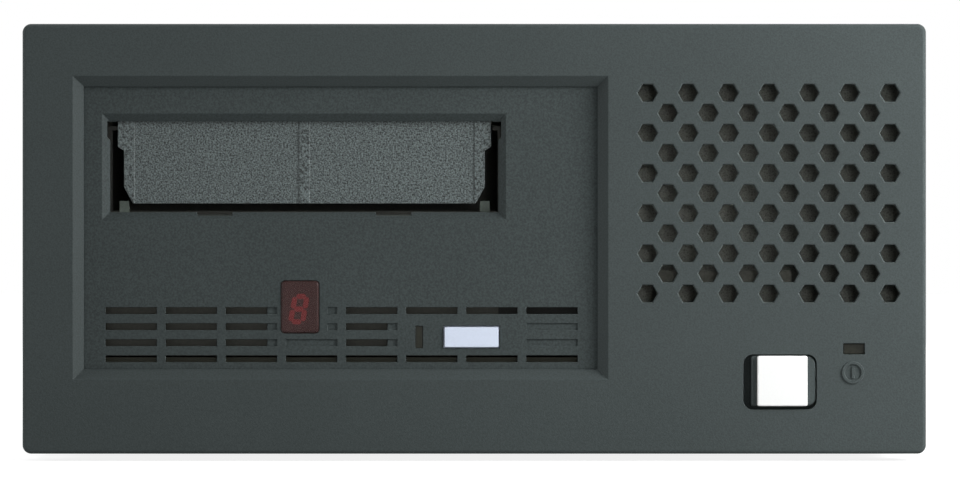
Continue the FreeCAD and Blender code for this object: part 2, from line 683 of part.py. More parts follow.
class Moulding:
    """A PartDesign body built up feature by feature."""

    def __init__(self, at=None, turn=None):
        self.body = doc.addObject("PartDesign::Body", "body")
        if at is not None:
            place(self.body, at, turn)

    def draw(self, plane, at=0.0):
        """A new sketch on a plane, at a height along that plane's axis."""
        return Drawing(self.body, plane, at if isinstance(at, Size) else Size(at, formula(at)))

    def _volume(self):
        shape = self.body.Shape
        return 0.0 if shape.isNull() else shape.Volume

    def _extrude(self, kind, drawing, length, natural, toward, taper):
        before = self._volume()
        made = self.body.newObject(f"PartDesign::{kind}", kind.lower())
        made.Profile = drawing.sketch
        made.Reversed = toward != natural
        bind(made, "Length", length)
        if taper:
            made.TaperAngle = taper
        self.body.Tip = made
        doc.recompute()
        if abs(self._volume() - before) < 1e-6:
            raise ValueError(f"a {kind} changes nothing in {self.body.Name}")
        return made

    def pad(self, drawing, length, toward=1, taper=0.0):
        """Adds the outline, extruded along + or - its plane's axis."""
        return self._extrude("Pad", drawing, length, drawing.normal, toward, taper)

    def pocket(self, drawing, length, toward=1, taper=0.0):
        """Cuts the outline, extruded along + or - its plane's axis."""
        return self._extrude("Pocket", drawing, length, -drawing.normal, toward, taper)

    def turned(self, drawing, groove=False):
        """Turns an XZ outline a full circle about the body's own Z axis."""
        kind = "Groove" if groove else "Revolution"
        made = self.body.newObject(f"PartDesign::{kind}", kind.lower())
        made.Profile = drawing.sketch
        made.ReferenceAxis = (drawing.sketch, ["V_Axis"])
        made.Angle = 360
        self.body.Tip = made
        doc.recompute()
        return made

    def grid(self, features, drawing, columns, across, rows, up):
        """Repeats features in columns and rows, along the sketch's two axes."""
        made = self.body.newObject("PartDesign::LinearPattern", "grid")
        made.Originals = features
        made.Direction = (drawing.sketch, ["H_Axis"])
        made.Mode = "Extent"
        bind(made, "Length", across * max(columns - 1, 1))
        made.Occurrences = columns
        made.Direction2 = (drawing.sketch, ["V_Axis"])
        made.Mode2 = "Extent"
        bind(made, "Length2", up * max(rows - 1, 1))
        made.Occurrences2 = rows
        self.body.Tip = made
        doc.recompute()
        return made

    def soften(self, kind, size, choose):
        """Fillets or chamfers the edges that choose() accepts."""
        tip = self.body.Tip
        names = [f"Edge{i + 1}" for i, e in enumerate(tip.Shape.Edges) if choose(e.BoundBox)]
        made = self.body.newObject(f"PartDesign::{kind}", kind.lower())
        made.Base = (tip, names)
        bind(made, "Radius" if kind == "Fillet" else "Size", size)
        self.body.Tip = made
        doc.recompute()
        return made


NEAR = 1e-3


def lies(box, axis, size):
    """Whether an edge's box lies flat at a height along an axis."""
    low, high = getattr(box, f"{axis}Min"), getattr(box, f"{axis}Max")
    return abs(low - number(size)) < NEAR and abs(high - number(size)) < NEAR


def runs(box, axis):
    """Whether an edge is straight and runs along an axis only."""
    spans = {a: getattr(box, f"{a}Max") - getattr(box, f"{a}Min") for a in "XYZ"}
    return spans[axis] > NEAR and all(v < NEAR for a, v in spans.items() if a != axis)


# ---------------------------------------------------------------------------------------------
# Shared places, all worked out from the driving dimensions
# ---------------------------------------------------------------------------------------------
front = s.button_proud - (s.button_proud + s.case_depth + s.back_proud) / 2
back = front + s.case_depth
low = s.foot_gap
high = s.foot_gap + s.front_height

tray_low = low + s.tray_under
tray_half = s.front_width / 2 - s.cover_inset - s.sheet - s.slip
tray_front = front + s.tray_setback
tray_top = tray_low + s.sheet
cover_half = s.front_width / 2 - s.cover_inset
cover_top = high - s.cover_inset
back_top = cover_top - s.sheet - s.slip

drive_x = -s.drive_left
drive_z = low + s.drive_up
drive_low = drive_z - s.drive_height / 2
drive_high = drive_z + s.drive_height / 2
face_y = front + s.face_wall + s.drive_gap
frame_y = face_y + s.fascia_depth
frame_back = frame_y + s.drive_length
deck = drive_low + s.deck_up

slot_x = drive_x - s.slot_left
slot_z = drive_z + s.slot_up
slot_low = slot_z - s.slot_height / 2
slot_high = slot_z + s.slot_height / 2

button_x = s.button_right
button_z = low + s.button_up
bay_z = low + s.bay_up
back_inner = back - s.sheet


# ---------------------------------------------------------------------------------------------
# Fasteners and springs
# ---------------------------------------------------------------------------------------------
def pan_screw(axis, seat, out):
    """A pan-head screw: its head on the side of the seat that out points to, its shank on the other."""
    along = {"X": (1, 0, 0), "Y": (0, 1, 0), "Z": (0, 0, 1)}[axis]

    def piece(start, radius, length):
        """A stretch of the screw that starts this far outside its seat."""
        first = start if out > 0 else -start - length
        return rod(axis, [c + first * k for c, k in zip(seat, along)], radius, length)

    head = piece(0.0, s.head_radius, s.head_high)
    shank = piece(-s.screw_long, s.screw_radius, s.screw_long)
    recess = piece(s.head_high * 0.4, s.screw_radius * 0.7, s.head_high)
    return cut(fuse(head, shank), recess)


def coil(axis, start, radius, wire, length, turns):
    """A helical spring along an axis, in short arcs joined end to end, with its first turn at start."""
    r, pitch = number(radius), number(length) / turns

    def at(turn):
        """The middle of the wire after this many turns."""
        angle = 2 * math.pi * turn
        return FreeCAD.Vector(r * math.cos(angle), r * math.sin(angle), pitch * turn)

    step = 1 / ARCS_PER_TURN
    arcs = [
        Part.Arc(at(i * step), at((i + 0.5) * step), at((i + 1) * step)).toShape()
        for i in range(turns * ARCS_PER_TURN)
    ]
    way = FreeCAD.Vector(0, 2 * math.pi * r, pitch)
    profile = Part.Wire(Part.makeCircle(number(wire) / 2, at(0), way))
    made = doc.addObject("Part::Feature", "coil")
    made.Shape = Part.Wire(arcs).makePipeShell([profile], True, True)
    return place(made, start, TURN[axis])


# ---------------------------------------------------------------------------------------------
# Plastic front
# ---------------------------------------------------------------------------------------------
def front_bezel():
    """The plastic front: a shallow box with the drive window, the vents and the button bay."""
    half = s.front_width / 2
    shell = Moulding()
    shell.pad(
        shell.draw("XZ", front).rectangle(-half, low, half, high, s.face_corner), s.skirt_depth
    )
    shell.soften("Fillet", s.face_edge, lambda e: lies(e, "Y", front))
    shell.pocket(
        shell.draw("XZ", front + s.face_wall).rectangle(
            -half + s.skirt_wall, low + s.skirt_wall, half - s.skirt_wall, high - s.skirt_wall
        ),
        s.skirt_depth,
    )
    bay_sleeve = shell.draw("XZ", front + s.face_wall).centred(
        s.bay_right, bay_z,
        s.bay_width + s.skirt_wall, s.bay_height + s.skirt_wall, s.bay_corner + s.skirt_wall / 2,
    )
    shell.pad(bay_sleeve, s.bay_depth - s.face_wall)
    symbol_z = low + s.symbol_up
    symbol = shell.draw("XZ", front)
    symbol.circle(s.symbol_right, symbol_z, s.symbol_radius)
    symbol.circle(s.symbol_right, symbol_z, s.symbol_radius - s.symbol_line)
    symbol.centred(s.symbol_right, symbol_z, s.symbol_line, s.symbol_bar)
    shell.pad(symbol, s.symbol_proud, -1)
    bosses = shell.draw("XZ", front + s.face_wall)
    for x, z in bezel_screw_places():
        bosses.circle(x, z, s.boss_radius)
        bosses.circle(x, z, s.screw_radius + s.pin_clear)
    shell.pad(bosses, s.tray_setback - s.face_wall - s.slip)
    window = shell.draw("XZ", front).centred(drive_x, drive_z, s.window_width, s.window_height)
    shell.pocket(window, s.face_wall)
    left, right = drive_x - s.window_width / 2, drive_x + s.window_width / 2
    bottom, top = drive_z - s.window_height / 2, drive_z + s.window_height / 2

    def rims_window(e):
        """An edge of the window's mouth."""
        inside = number(left) - NEAR < e.XMin and e.XMax < number(right) + NEAR
        return lies(e, "Y", front) and inside and number(bottom) - NEAR < e.ZMin and (
            e.ZMax < number(top) + NEAR
        )

    shell.soften("Chamfer", s.window_bevel, rims_window)
    shell.pocket(
        shell.draw("XZ", front).centred(
            s.bay_right, bay_z, s.bay_width, s.bay_height, s.bay_corner
        ),
        s.bay_depth,
    )
    lamp_z = low + s.lamp_up
    shell.pocket(
        shell.draw("XZ", front).centred(s.lamp_right, lamp_z, s.lamp_width, s.lamp_height),
        s.face_wall,
    )
    for first_column, first_row in ((0, 0), (1, 1)):
        x = s.vent_centre_right - s.vent_across * ((VENT_COLUMNS - 1 - first_column) / 2)
        z = low + s.vent_centre_up - s.vent_up * ((VENT_ROWS - 1 - first_row) / 2)
        hole = shell.draw("XZ", front).polygon(hexagon(x, z, s.vent_flats))
        mouth = shell.draw("XZ", front).polygon(hexagon(x, z, s.vent_flats + 2 * s.vent_break))
        through = shell.pocket(hole, s.face_wall)
        edge = shell.pocket(mouth, s.vent_break, taper=-44.9)
        shell.grid(
            [through, edge], hole,
            VENT_COLUMNS - first_column, s.vent_across, VENT_ROWS - first_row, s.vent_up,
        )
    node("front_bezel", shell)


def hexagon(x, y, flats):
    """The corners of a hexagon with one corner to the left and one to the right."""
    reach = flats / math.sqrt(3)
    ways = [(math.cos(math.pi / 3 * i), math.sin(math.pi / 3 * i)) for i in range(6)]
    return [(x + reach * a, y + reach * b) for a, b in ways]


def power_button():
    """White key on a grey carrier, its spring and switch, the bracket behind, and the air filter."""
    face = front - s.button_proud
    half = s.button_size / 2
    key = Moulding()
    key.pad(
        key.draw("XZ", face).centred(
            button_x, button_z, s.button_size, s.button_size, s.button_corner
        ),
        s.button_key,
    )
    key.soften("Fillet", s.button_edge, lambda e: lies(e, "Y", face))
    node("power_button", key)

    seat = face + s.button_key
    flange = front + s.bay_depth + s.slip
    foot = flange + s.wing_flange
    neck = half + s.slip
    wing = front + s.wing_sunk
    wing_left = button_x - s.wing_left
    wing_right = s.bay_right + s.bay_width / 2 - s.slip
    wing_low, wing_high = button_z - half, button_z + half
    carrier = Moulding()
    carrier.pad(
        carrier.draw("XZ", wing).polygon([
            (wing_left, wing_low, s.button_corner), (wing_right, wing_low, s.bay_corner),
            (wing_right, wing_high, s.bay_corner), (wing_left, wing_high, s.button_corner),
        ]),
        flange - wing,
    )
    carrier.soften("Fillet", s.wing_round, lambda e: lies(e, "Y", wing))
    carrier.pocket(
        carrier.draw("XZ", wing).centred(
            button_x, button_z, 2 * neck, s.button_size + 2 * s.slip
        ),
        seat - wing,
    )
    carrier.pad(
        carrier.draw("XZ", flange).centred(
            s.bay_right, bay_z, s.bay_width + s.skirt_wall, s.bay_height + s.skirt_wall,
        ),
        s.wing_flange,
    )
    carrier.pad(
        carrier.draw("XZ", foot).centred(button_x, button_z, s.plunger_width, s.plunger_width),
        s.plunger_length,
    )
    node("power_button_carrier", carrier)

    switch_front = foot + s.plunger_length
    spring_gap = s.plunger_length - s.spring_wire * 2
    node("power_button_spring", coil(
        "Y", (button_x, foot + s.spring_wire, button_z), s.button_spring_radius, s.spring_wire,
        spring_gap, BUTTON_SPRING_TURNS,
    ))
    size = s.switch_size / 2
    switch_back = switch_front + s.switch_depth
    well = s.plunger_width / 2 + s.slip
    switch = cut(
        block(
            (button_x - size, switch_front, button_z - size),
            (button_x + size, switch_back, button_z + size),
        ),
        block(
            (button_x - well, switch_front, button_z - well),
            (button_x + well, switch_front + s.button_travel + s.slip, button_z + well),
        ),
    )
    board_left = button_x - s.switch_size
    board_right = s.lamp_right + s.lamp_width
    board_low = tray_top + s.board_rise
    board_back = switch_back + s.board
    node("power_switch_board", fuse(switch, block(
        (board_left, switch_back, board_low),
        (board_right, board_back, low + s.lamp_up + s.lamp_height),
    )))
    lamp = Moulding()
    pipe = front + s.lamp_sunk
    lamp.pad(
        lamp.draw("XZ", pipe).centred(
            s.lamp_right, low + s.lamp_up, s.lamp_width - s.slip, s.lamp_height - s.slip
        ),
        switch_back - pipe - s.slip,
    )
    node("power_lamp_lens", lamp)

    stand = board_back + s.bracket_gap
    stand_back = stand + s.sheet
    plate_left = s.bracket_right - s.bracket_width / 2
    plate_right = s.bracket_right + s.bracket_width / 2
    plate_top = tray_top + s.bracket_height
    shelf_right = plate_left + s.shelf_width
    shelf_front = stand - s.shelf_deep
    pieces = [
        block((plate_left, stand, tray_top), (plate_right, stand_back, tray_top + s.bracket_plate)),
        block(
            (plate_left, stand, tray_top), (plate_right, stand + s.bracket_foot, tray_top + s.sheet)
        ),
        block((plate_left, shelf_front, plate_top - s.sheet), (shelf_right, stand_back, plate_top)),
        block(
            (plate_left, shelf_front, plate_top - s.shelf_lip),
            (shelf_right, shelf_front + s.sheet, plate_top),
        ),
    ]
    for leg in (plate_left + s.leg_in, plate_left + s.leg_in + s.leg_pitch):
        pieces.append(block((leg, stand, tray_top), (leg + s.leg_width, stand_back, plate_top)))
    for x in (board_left + s.post_thick, plate_right - s.post_thick):
        pieces.append(
            rod("Y", (x, board_back, board_low + s.post_thick), s.post_thick, s.bracket_gap)
        )
    node("power_bracket", cut(fuse(*pieces), *foot_screw_holes()))

    screen = stand + s.bracket_foot + s.slip
    foam = block(
        (s.filter_left, screen, tray_top),
        (s.front_width / 2 - s.filter_in, screen + s.filter_thick, cover_top - s.sheet - s.slip),
    )
    holes = [
        rod("X", (cover_half - s.screw_long - s.slip, y, z), s.screw_radius + s.slip, s.screw_long)
        for side, y, z in cover_screw_places() if side > 0
    ]
    node("air_filter", cut(foam, *holes))


# ---------------------------------------------------------------------------------------------
# Steel case
# ---------------------------------------------------------------------------------------------
def foot_places():
    """The four feet's middles."""
    x = s.front_width / 2 - s.foot_in_side
    ys = (front + s.foot_in_front, back - s.foot_in_back)
    return [(side * x, y) for y in ys for side in (-1, 1)]


def foot_screw_holes():
    """Clearance for the foot screws through anything that stands on the floor of the case."""
    through = s.screw_long + s.sheet
    return [rod("Z", (x, y, tray_low), s.screw_radius + s.slip, through) for x, y in foot_places()]


def cover_screw_places():
    """Where screws go through the cover's sides: (side, y, z)."""
    z = tray_low + s.cover_screw_up
    ys = (
        front + s.skirt_depth + s.cover_screw_in,
        (front + s.skirt_depth + back) / 2,
        back - s.cover_screw_in,
    )
    return [(side, y, z) for side in (-1, 1) for y in ys]


def bezel_screw_places():
    """Where screws go through the tray's lip into the plastic front: (x, z)."""
    x = s.front_width / 2 - s.boss_inset
    return [(side * x, low + s.boss_up) for side in (-1, 1)]


def fan_screw_places():
    """The fan's four screws: (x, z)."""
    half = s.fan_pitch / 2
    return [(s.fan_right + i * half, s.fan_up + k * half) for i in (-1, 1) for k in (-1, 1)]


def inlet_screw_places():
    """The mains inlet's two screws: (x, z)."""
    return [(s.inlet_right + side * s.inlet_screws / 2, s.inlet_up) for side in (-1, 1)]


def jack_places():
    """The four jack posts: (x, z)."""
    return [(-s.port_left + side * s.port_screws / 2, z) for z in port_heights() for side in (-1, 1)]


def port_heights():
    """The two data connectors' middles."""
    return [s.port_low, s.port_low + s.port_pitch]


def base_tray():
    """The folded steel base: floor, side flanges, front lip and the back wall with its cut-outs."""
    half = tray_half
    walls = [
        block((-half, tray_front, tray_low), (half, back, tray_top)),
        block((-half, back_inner, tray_low), (half, back, back_top - s.cover_bend)),
        block((s.cover_bend - half, back_inner, tray_low), (half - s.cover_bend, back, back_top)),
        block((-half, tray_front, tray_low), (half, tray_front + s.sheet, tray_low + s.tray_lip)),
        block((-half, tray_front, tray_low), (-half + s.sheet, back, tray_low + s.tray_side)),
        block((half - s.sheet, tray_front, tray_low), (half, back, tray_low + s.tray_side)),
    ]
    through = s.sheet * 3
    y = back - s.sheet * 2
    bore = s.screw_radius + s.slip

    def window(x, z, width, height):
        """A cut-out in the back wall, with clearance all round."""
        reach, rise = width / 2 + s.slip, height / 2 + s.slip
        return block((x - reach, y, z - rise), (x + reach, y + through, z + rise))

    inlet = (s.inlet_width + 2 * s.inlet_wall, s.inlet_height + 2 * s.inlet_wall)
    holes = [
        rod("Y", (s.fan_right, y, s.fan_up), s.fan_duct, through),
        window(s.inlet_right, s.inlet_up, *inlet),
        window(-s.selector_left, s.selector_up, s.selector_width, s.selector_height),
    ]
    holes += [window(-s.port_left, z, s.port_width, s.port_height) for z in port_heights()]
    screws = fan_screw_places() + inlet_screw_places() + jack_places()
    holes += [rod("Y", (x, y, z), bore, through) for x, z in screws]
    holes += [
        rod("Y", (x, tray_front - s.sheet, z), bore, through) for x, z in bezel_screw_places()
    ]
    holes += [
        rod("X", (side * half - through / 2, screw_y, z), bore, through)
        for side, screw_y, z in cover_screw_places()
    ]
    holes += [rod("Z", (x, foot_y, tray_low - s.sheet), bore, through) for x, foot_y in foot_places()]
    for row in range(AIR_ROWS):
        for column in range(AIR_COLUMNS):
            x = -s.port_left - s.port_width / 2 + s.air_pitch * column
            z = back_top - s.air_down - s.air_up * row
            holes.append(window(x, z, s.air_long, s.air_tall))
    node("base_tray", cut(fuse(*walls), *holes))


def top_cover():
    """The folded steel cover, an upside-down U that stands behind the plastic front."""
    start = front + s.skirt_depth + s.slip
    w = cover_half
    inner, inside = w - s.sheet, cover_top - s.sheet
    cover = Moulding()
    cover.pad(
        cover.draw("XZ", start).polygon([
            (inner, tray_low), (w, tray_low), (w, cover_top, s.cover_bend),
            (-w, cover_top, s.cover_bend), (-w, tray_low), (-inner, tray_low),
            (-inner, inside, s.cover_bend - s.sheet), (inner, inside, s.cover_bend - s.sheet),
        ]),
        back - start,
    )
    holes = cover.draw("YZ", -w)
    for side, y, z in cover_screw_places():
        if side < 0:
            holes.circle(y, z, s.screw_radius + s.slip)
    cover.pocket(holes, 2 * w)
    node("top_cover", cover)


def rubber_feet():
    """Four feet, each with a sunk hole for its screw."""
    feet = []
    for x, y in foot_places():
        body = cone("Z", (x, y, 0.0), s.foot_radius - s.foot_taper, s.foot_radius, tray_low)
        sink = rod("Z", (x, y, -s.sheet), s.head_radius + s.slip, s.foot_sink + s.sheet)
        bore = rod("Z", (x, y, -s.sheet), s.screw_radius + s.slip, tray_low + 2 * s.sheet)
        feet.append(cut(body, sink, bore))
    node("rubber_feet", group(*feet))


def case_screws():
    """The identical pan-head screws of the case: cover, plastic front, feet, fan and mains inlet."""
    screws = [
        pan_screw("X", (side * cover_half, y, z), side) for side, y, z in cover_screw_places()
    ]
    screws += [pan_screw("Z", (x, y, s.foot_sink), -1) for x, y in foot_places()]
    screws += [pan_screw("Y", (x, tray_front + s.sheet, z), 1) for x, z in bezel_screw_places()]
    screws += [pan_screw("Y", (x, back + s.guard_wire, z), 1) for x, z in fan_screw_places()]
    screws += [pan_screw("Y", (x, back + s.inlet_flange, z), 1) for x, z in inlet_screw_places()]
    node("case_screws", group(*screws))


# ---------------------------------------------------------------------------------------------
# Power supply, fan and the fittings of the back panel
# ---------------------------------------------------------------------------------------------
# Transformer and input filter on the supply board: left and front corner, width, length and height.
SUPPLY_PARTS = (
    (8.0, 40.0, 30.0, 34.0, 24.0),
    (6.0, 12.0, 16.0, 12.0, 14.0),
)

supply_y = front + s.supply_back
supply_end = supply_y + s.supply_length
supply_board_low = tray_top + s.supply_sheet + s.standoff
supply_board_top = supply_board_low + s.board
block_back = supply_end - s.supply_sheet


def power_supply():
    """The power supply: an open aluminium channel with its board and the parts soldered to it."""
    left, right = s.supply_right - s.supply_width / 2, s.supply_right + s.supply_width / 2
    t = s.supply_sheet
    channel = cut(
        block((left, supply_y, tray_top), (right, supply_end, tray_top + s.supply_height)),
        block(
            (left + t, supply_y - t, tray_top + t),
            (right - t, supply_end + t, tray_top + s.supply_height + t),
        ),
    )
    inset = t + s.post_thick * 2
    posts = [
        rod("Z", (x, y, tray_top + t), s.post_thick, s.standoff)
        for x in (left + inset, right - inset) for y in (supply_y + inset, supply_end - inset)
    ]
    node("supply_channel", fuse(channel, *posts))

    board_left, board_front, top = left + t + s.slip, supply_y + t, supply_board_top

    def part(x, y, width, length, height):
        """A part on the board: its left front corner, in from the board's own, and its size."""
        at = (board_left + x, board_front + y)
        return block((at[0], at[1], top), (at[0] + width, at[1] + length, top + height))

    fins = s.fin_pitch * SINK_FINS
    pieces = [
        block((board_left, board_front, supply_board_low), (right - t - s.slip, block_back, top)),
        part(s.sink_left, s.sink_front - s.sheet, s.sink_plate, fins + s.sheet, s.sink_tall + s.sheet),
    ]
    pieces += [part(*sizes) for sizes in SUPPLY_PARTS]
    pieces += [
        part(s.sink_left, s.sink_front + s.fin_pitch * i, s.sink_width, s.supply_sheet, s.sink_tall)
        for i in range(SINK_FINS)
    ]
    pieces += [
        rod(
            "Z", (board_left + s.can_left + s.can_pitch * i, board_front + s.can_back, top),
            s.can_radius, s.can_tall,
        )
        for i in range(SUPPLY_CANS)
    ]
    pieces += [
        block(
            (x - s.lead_block / 2, block_back - s.lead_block / 2, top),
            (x + s.lead_block / 2, block_back, top + s.lead_block),
        )
        for x in (left + s.lead_block, right - s.lead_block)
    ]
    node("supply_board", fuse(*pieces))


def fan():
    """A square fan: the ducted frame with its hub on three struts, and the bladed rotor."""
    half = s.fan_size / 2
    x, z = s.fan_right, s.fan_up
    y = back_inner - s.fan_depth
    hub_y = back_inner - s.hub_plate
    duct = cut(
        block((x - half, y, z - half), (x + half, back_inner, z + half)),
        rod("Y", (x, y - s.sheet, z), s.fan_duct, s.fan_depth + 2 * s.sheet),
        *[
            rod("Y", (sx, y - s.sheet, sz), s.screw_radius + s.slip, s.fan_depth + 2 * s.sheet)
            for sx, sz in fan_screw_places()
        ],
    )
    struts = []
    for i in range(FAN_STRUTS):
        strut = block(
            (0.0, 0.0, -s.strut / 2), (s.fan_duct + s.strut / 2, s.hub_plate, s.strut / 2)
        )
        turned = doc.addObject("Part::Compound", "strut")
        turned.Links = [strut]
        angle = FreeCAD.Rotation(FreeCAD.Vector(0, 1, 0), 90 + 360 / FAN_STRUTS * i)
        struts.append(place(turned, (x, hub_y, z), angle))
    hub = rod("Y", (x, hub_y, z), s.fan_hub, s.hub_plate)
    stem_start = y + s.hub_plate * 2
    stem = rod("Y", (x, stem_start, z), s.fan_axle * 2, hub_y - stem_start)
    bore = rod("Y", (x, stem_start - s.slip, z), s.fan_axle + s.pin_clear, hub_y - stem_start)
    node("fan_frame", cut(fuse(duct, hub, stem, *struts), bore))

    tip = s.fan_duct - s.fan_tip
    cup_front = y + s.hub_plate - s.slip
    cup_back = hub_y - s.fan_tip
    cup = cut(
        rod("Y", (x, cup_front, z), s.fan_hub, cup_back - cup_front),
        rod("Y", (x, cup_front + s.supply_sheet, z), s.fan_hub - s.supply_sheet, s.fan_depth),
    )
    axle = rod("Y", (x, cup_front, z), s.fan_axle, hub_y - cup_front - s.slip * 2)
    blades = [
        fan_blade(x, z, cup_front, cup_back, tip, 360 / FAN_BLADES * i) for i in range(FAN_BLADES)
    ]
    node("fan_rotor", fuse(cup, axle, *blades))

    wire = s.guard_wire / 2
    loop = s.head_radius - wire / 2
    bars_y = back + wire
    rings = [
        ring("Y", (x, bars_y + s.guard_wire - s.slip, z), s.fan_duct * share, wire)
        for share in GUARD_RINGS
    ]
    loops = [ring("Y", (sx, bars_y, sz), loop, wire) for sx, sz in fan_screw_places()]
    reach = s.fan_pitch / math.sqrt(2) - loop
    bars = []
    for side in (-1, 1):
        way = FreeCAD.Rotation(FreeCAD.Vector(0, 0, 1), FreeCAD.Vector(side, 0, 1))
        bar = doc.addObject("Part::Cylinder", "bar")
        bind(bar, "Radius", wire)
        bind(bar, "Height", reach * 2)
        shift = reach / math.sqrt(2)
        bars.append(place(bar, (x - side * shift, bars_y, z - shift), way))
    node("fan_guard", fuse(*rings, *loops, *bars))


def fan_blade(x, z, start, end, tip, angle):
    """One pitched blade, from inside the hub out to the tip circle."""
    depth = number(end - start)
    width = depth * math.tan(math.radians(BLADE_PITCH))
    thick, lap = number(s.blade_thick), number(s.blade_root)
    root = number(s.fan_hub) - lap
    blade = Part.makeBox(thick, math.hypot(depth, width), number(tip) - root + lap)
    blade.translate(FreeCAD.Vector(-thick / 2, 0, root))
    blade.rotate(FreeCAD.Vector(), FreeCAD.Vector(0, 0, 1), -BLADE_PITCH)
    blade.translate(FreeCAD.Vector(-width / 2, 0, 0))
    ring_space = Part.makeCylinder(number(tip), depth, FreeCAD.Vector(), FreeCAD.Vector(0, 1, 0))
    core = Part.makeCylinder(root, depth, FreeCAD.Vector(), FreeCAD.Vector(0, 1, 0))
    made = doc.addObject("Part::Feature", "blade")
    made.Shape = blade.common(ring_space.cut(core))
    return place(made, (x, start, z), FreeCAD.Rotation(FreeCAD.Vector(0, 1, 0), angle))


def mains_inlet():
    """The three-pin mains inlet with its flange, and the pins in it."""
    x, z = s.inlet_right, s.inlet_up
    face = back + s.inlet_flange
    floor = face - s.inlet_deep
    rear = floor - s.inlet_wall * 2
    reach, rise = s.inlet_width / 2, s.inlet_height / 2
    wall = s.inlet_wall
    flange = (s.inlet_screws / 2 + s.head_radius + wall, rise + wall * 2)
    body = fuse(
        block((x - reach - wall, rear, z - rise - wall), (x + reach + wall, face, z + rise + wall)),
        block((x - flange[0], back, z - flange[1]), (x + flange[0], face, z + flange[1])),
    )
    cuts = [block((x - reach, floor, z - rise), (x + reach, face + wall, z + rise))]
    cuts += [
        rod("Y", (sx, back - wall, sz), s.screw_radius + s.slip, s.inlet_flange + 2 * wall)
        for sx, sz in inlet_screw_places()
    ]
    pins = []
    for px, pz in pin_places():
        half, tall = s.inlet_pin / 2, s.inlet_pin
        gap = s.pin_clear
        cuts.append(block(
            (px - half - gap, rear - wall, pz - tall - gap),
            (px + half + gap, floor + wall, pz + tall + gap),
        ))
        pins.append(block(
            (px - half, rear - s.pin_tab, pz - tall), (px + half, face - s.pin_back_set, pz + tall)
        ))
    node("mains_inlet", cut(body, *cuts))
    node("inlet_pins", group(*pins))


def pin_places():
    """The three mains pins: (x, z). The earth pin stands above the other two."""
    x, z = s.inlet_right, s.inlet_up
    return [(x - s.pin_out, z - s.pin_down), (x + s.pin_out, z - s.pin_down), (x, z + s.pin_down * 2)]


def data_connectors():
    """Two data connectors on the back wall, and the threaded posts beside them."""
    wall = s.shell_wall
    pieces = []
    for z in port_heights():
        x = -s.port_left
        reach, rise = s.port_width / 2, s.port_height / 2
        plate = s.port_screws / 2 + s.jack_flats
        plate_y = back_inner - s.flange_thick
        shell = cut(
            block((x - reach, plate_y, z - rise), (x + reach, back + s.port_proud, z + rise)),
            block(
                (x - reach + wall, back_inner, z - rise + wall),
                (x + reach - wall, back + s.port_proud + wall, z + rise - wall),
            ),
        )
        tongue = block(
            (x - reach + wall * 3, plate_y, z - wall),
            (x + reach - wall * 3, back + s.port_proud - wall, z + wall),
        )
        flange = cut(
            block(
                (x - plate, plate_y, z - rise - wall * 2),
                (x + plate, back_inner, z + rise + wall * 2),
            ),
            *[
                rod(
                    "Y", (x + side * s.port_screws / 2, plate_y - wall, z),
                    s.screw_radius + s.slip, s.flange_thick * 2,
                )
                for side in (-1, 1)
            ],
        )
        housing = block((x - reach, plate_y - s.port_deep, z - rise), (x + reach, plate_y, z + rise))
        pieces.append(fuse(shell, tongue, flange, housing))
    node("data_connectors", group(*pieces))

    posts = []
    for x, z in jack_places():
        head = prism("Y", (x, back, z), s.jack_flats, s.back_proud)
        root = plate_y - s.flange_thick
        shank = rod("Y", (x, root, z), s.screw_radius, back - root)
        bore = rod("Y", (x, back + s.back_proud - s.jack_thread, z), s.jack_bore, s.jack_thread + wall)
        posts.append(cut(fuse(head, shank), bore))
    node("jack_posts", group(*posts))


def selector():
    """The address selector: housing, number wheel, and the keys above and below its window."""
    x, z = -s.selector_left, s.selector_up
    face = back + s.selector_proud
    half, tall = s.selector_width / 2, s.selector_height / 2
    axle_y = face - s.selector_wall - s.slip - s.dial_radius
    rear = axle_y - s.dial_radius - s.slip
    room = s.dial_width / 2 + s.slip
    key, gap = s.selector_key / 2, s.slip
    key_depth = s.selector_wall * 4
    chamber = rod("X", (x - room, axle_y, z), s.dial_radius + s.slip, room * 2)
    open_back = block(
        (x - room, rear - s.slip, z - s.dial_radius - s.slip),
        (x + room, axle_y, z + s.dial_radius + s.slip),
    )
    axle_hole = rod(
        "X", (x - room - s.dial_pin, axle_y, z), s.dial_axle + s.pin_clear, (room + s.dial_pin) * 2
    )
    view = block((x - key, axle_y, z - key), (x + key, face + s.sheet, z + key))
    keyways = [
        block(
            (x - key - gap, face - key_depth - s.selector_travel, z + side * s.key_out - key - gap),
            (x + key + gap, face + s.sheet, z + side * s.key_out + key + gap),
        )
        for side in (-1, 1)
    ]
    body = block((x - half, rear, z - tall), (x + half, face, z + tall))
    node("selector_body", cut(body, chamber, open_back, axle_hole, view, *keyways))

    wheel = doc.addObject("Part::Prism", "wheel")
    wheel.Polygon = DIAL_FACES
    bind(wheel, "Circumradius", s.dial_radius)
    bind(wheel, "Height", s.dial_width)
    facing = FreeCAD.Rotation(FreeCAD.Vector(1, 0, 0), 180 / DIAL_FACES).multiply(TURN["X"])
    place(wheel, (x - s.dial_width / 2, axle_y, z), facing)
    pin_reach = room + s.dial_pin - s.slip
    axle = rod("X", (x - pin_reach, axle_y, z), s.dial_axle, pin_reach * 2)
    node("selector_dial", fuse(wheel, axle))
    for side, label in ((1, "selector_key_up"), (-1, "selector_key_down")):
        middle = z + side * s.key_out
        node(label, block(
            (x - key, face - key_depth, middle - key), (x + key, face + s.selector_travel, middle + key)
        ))


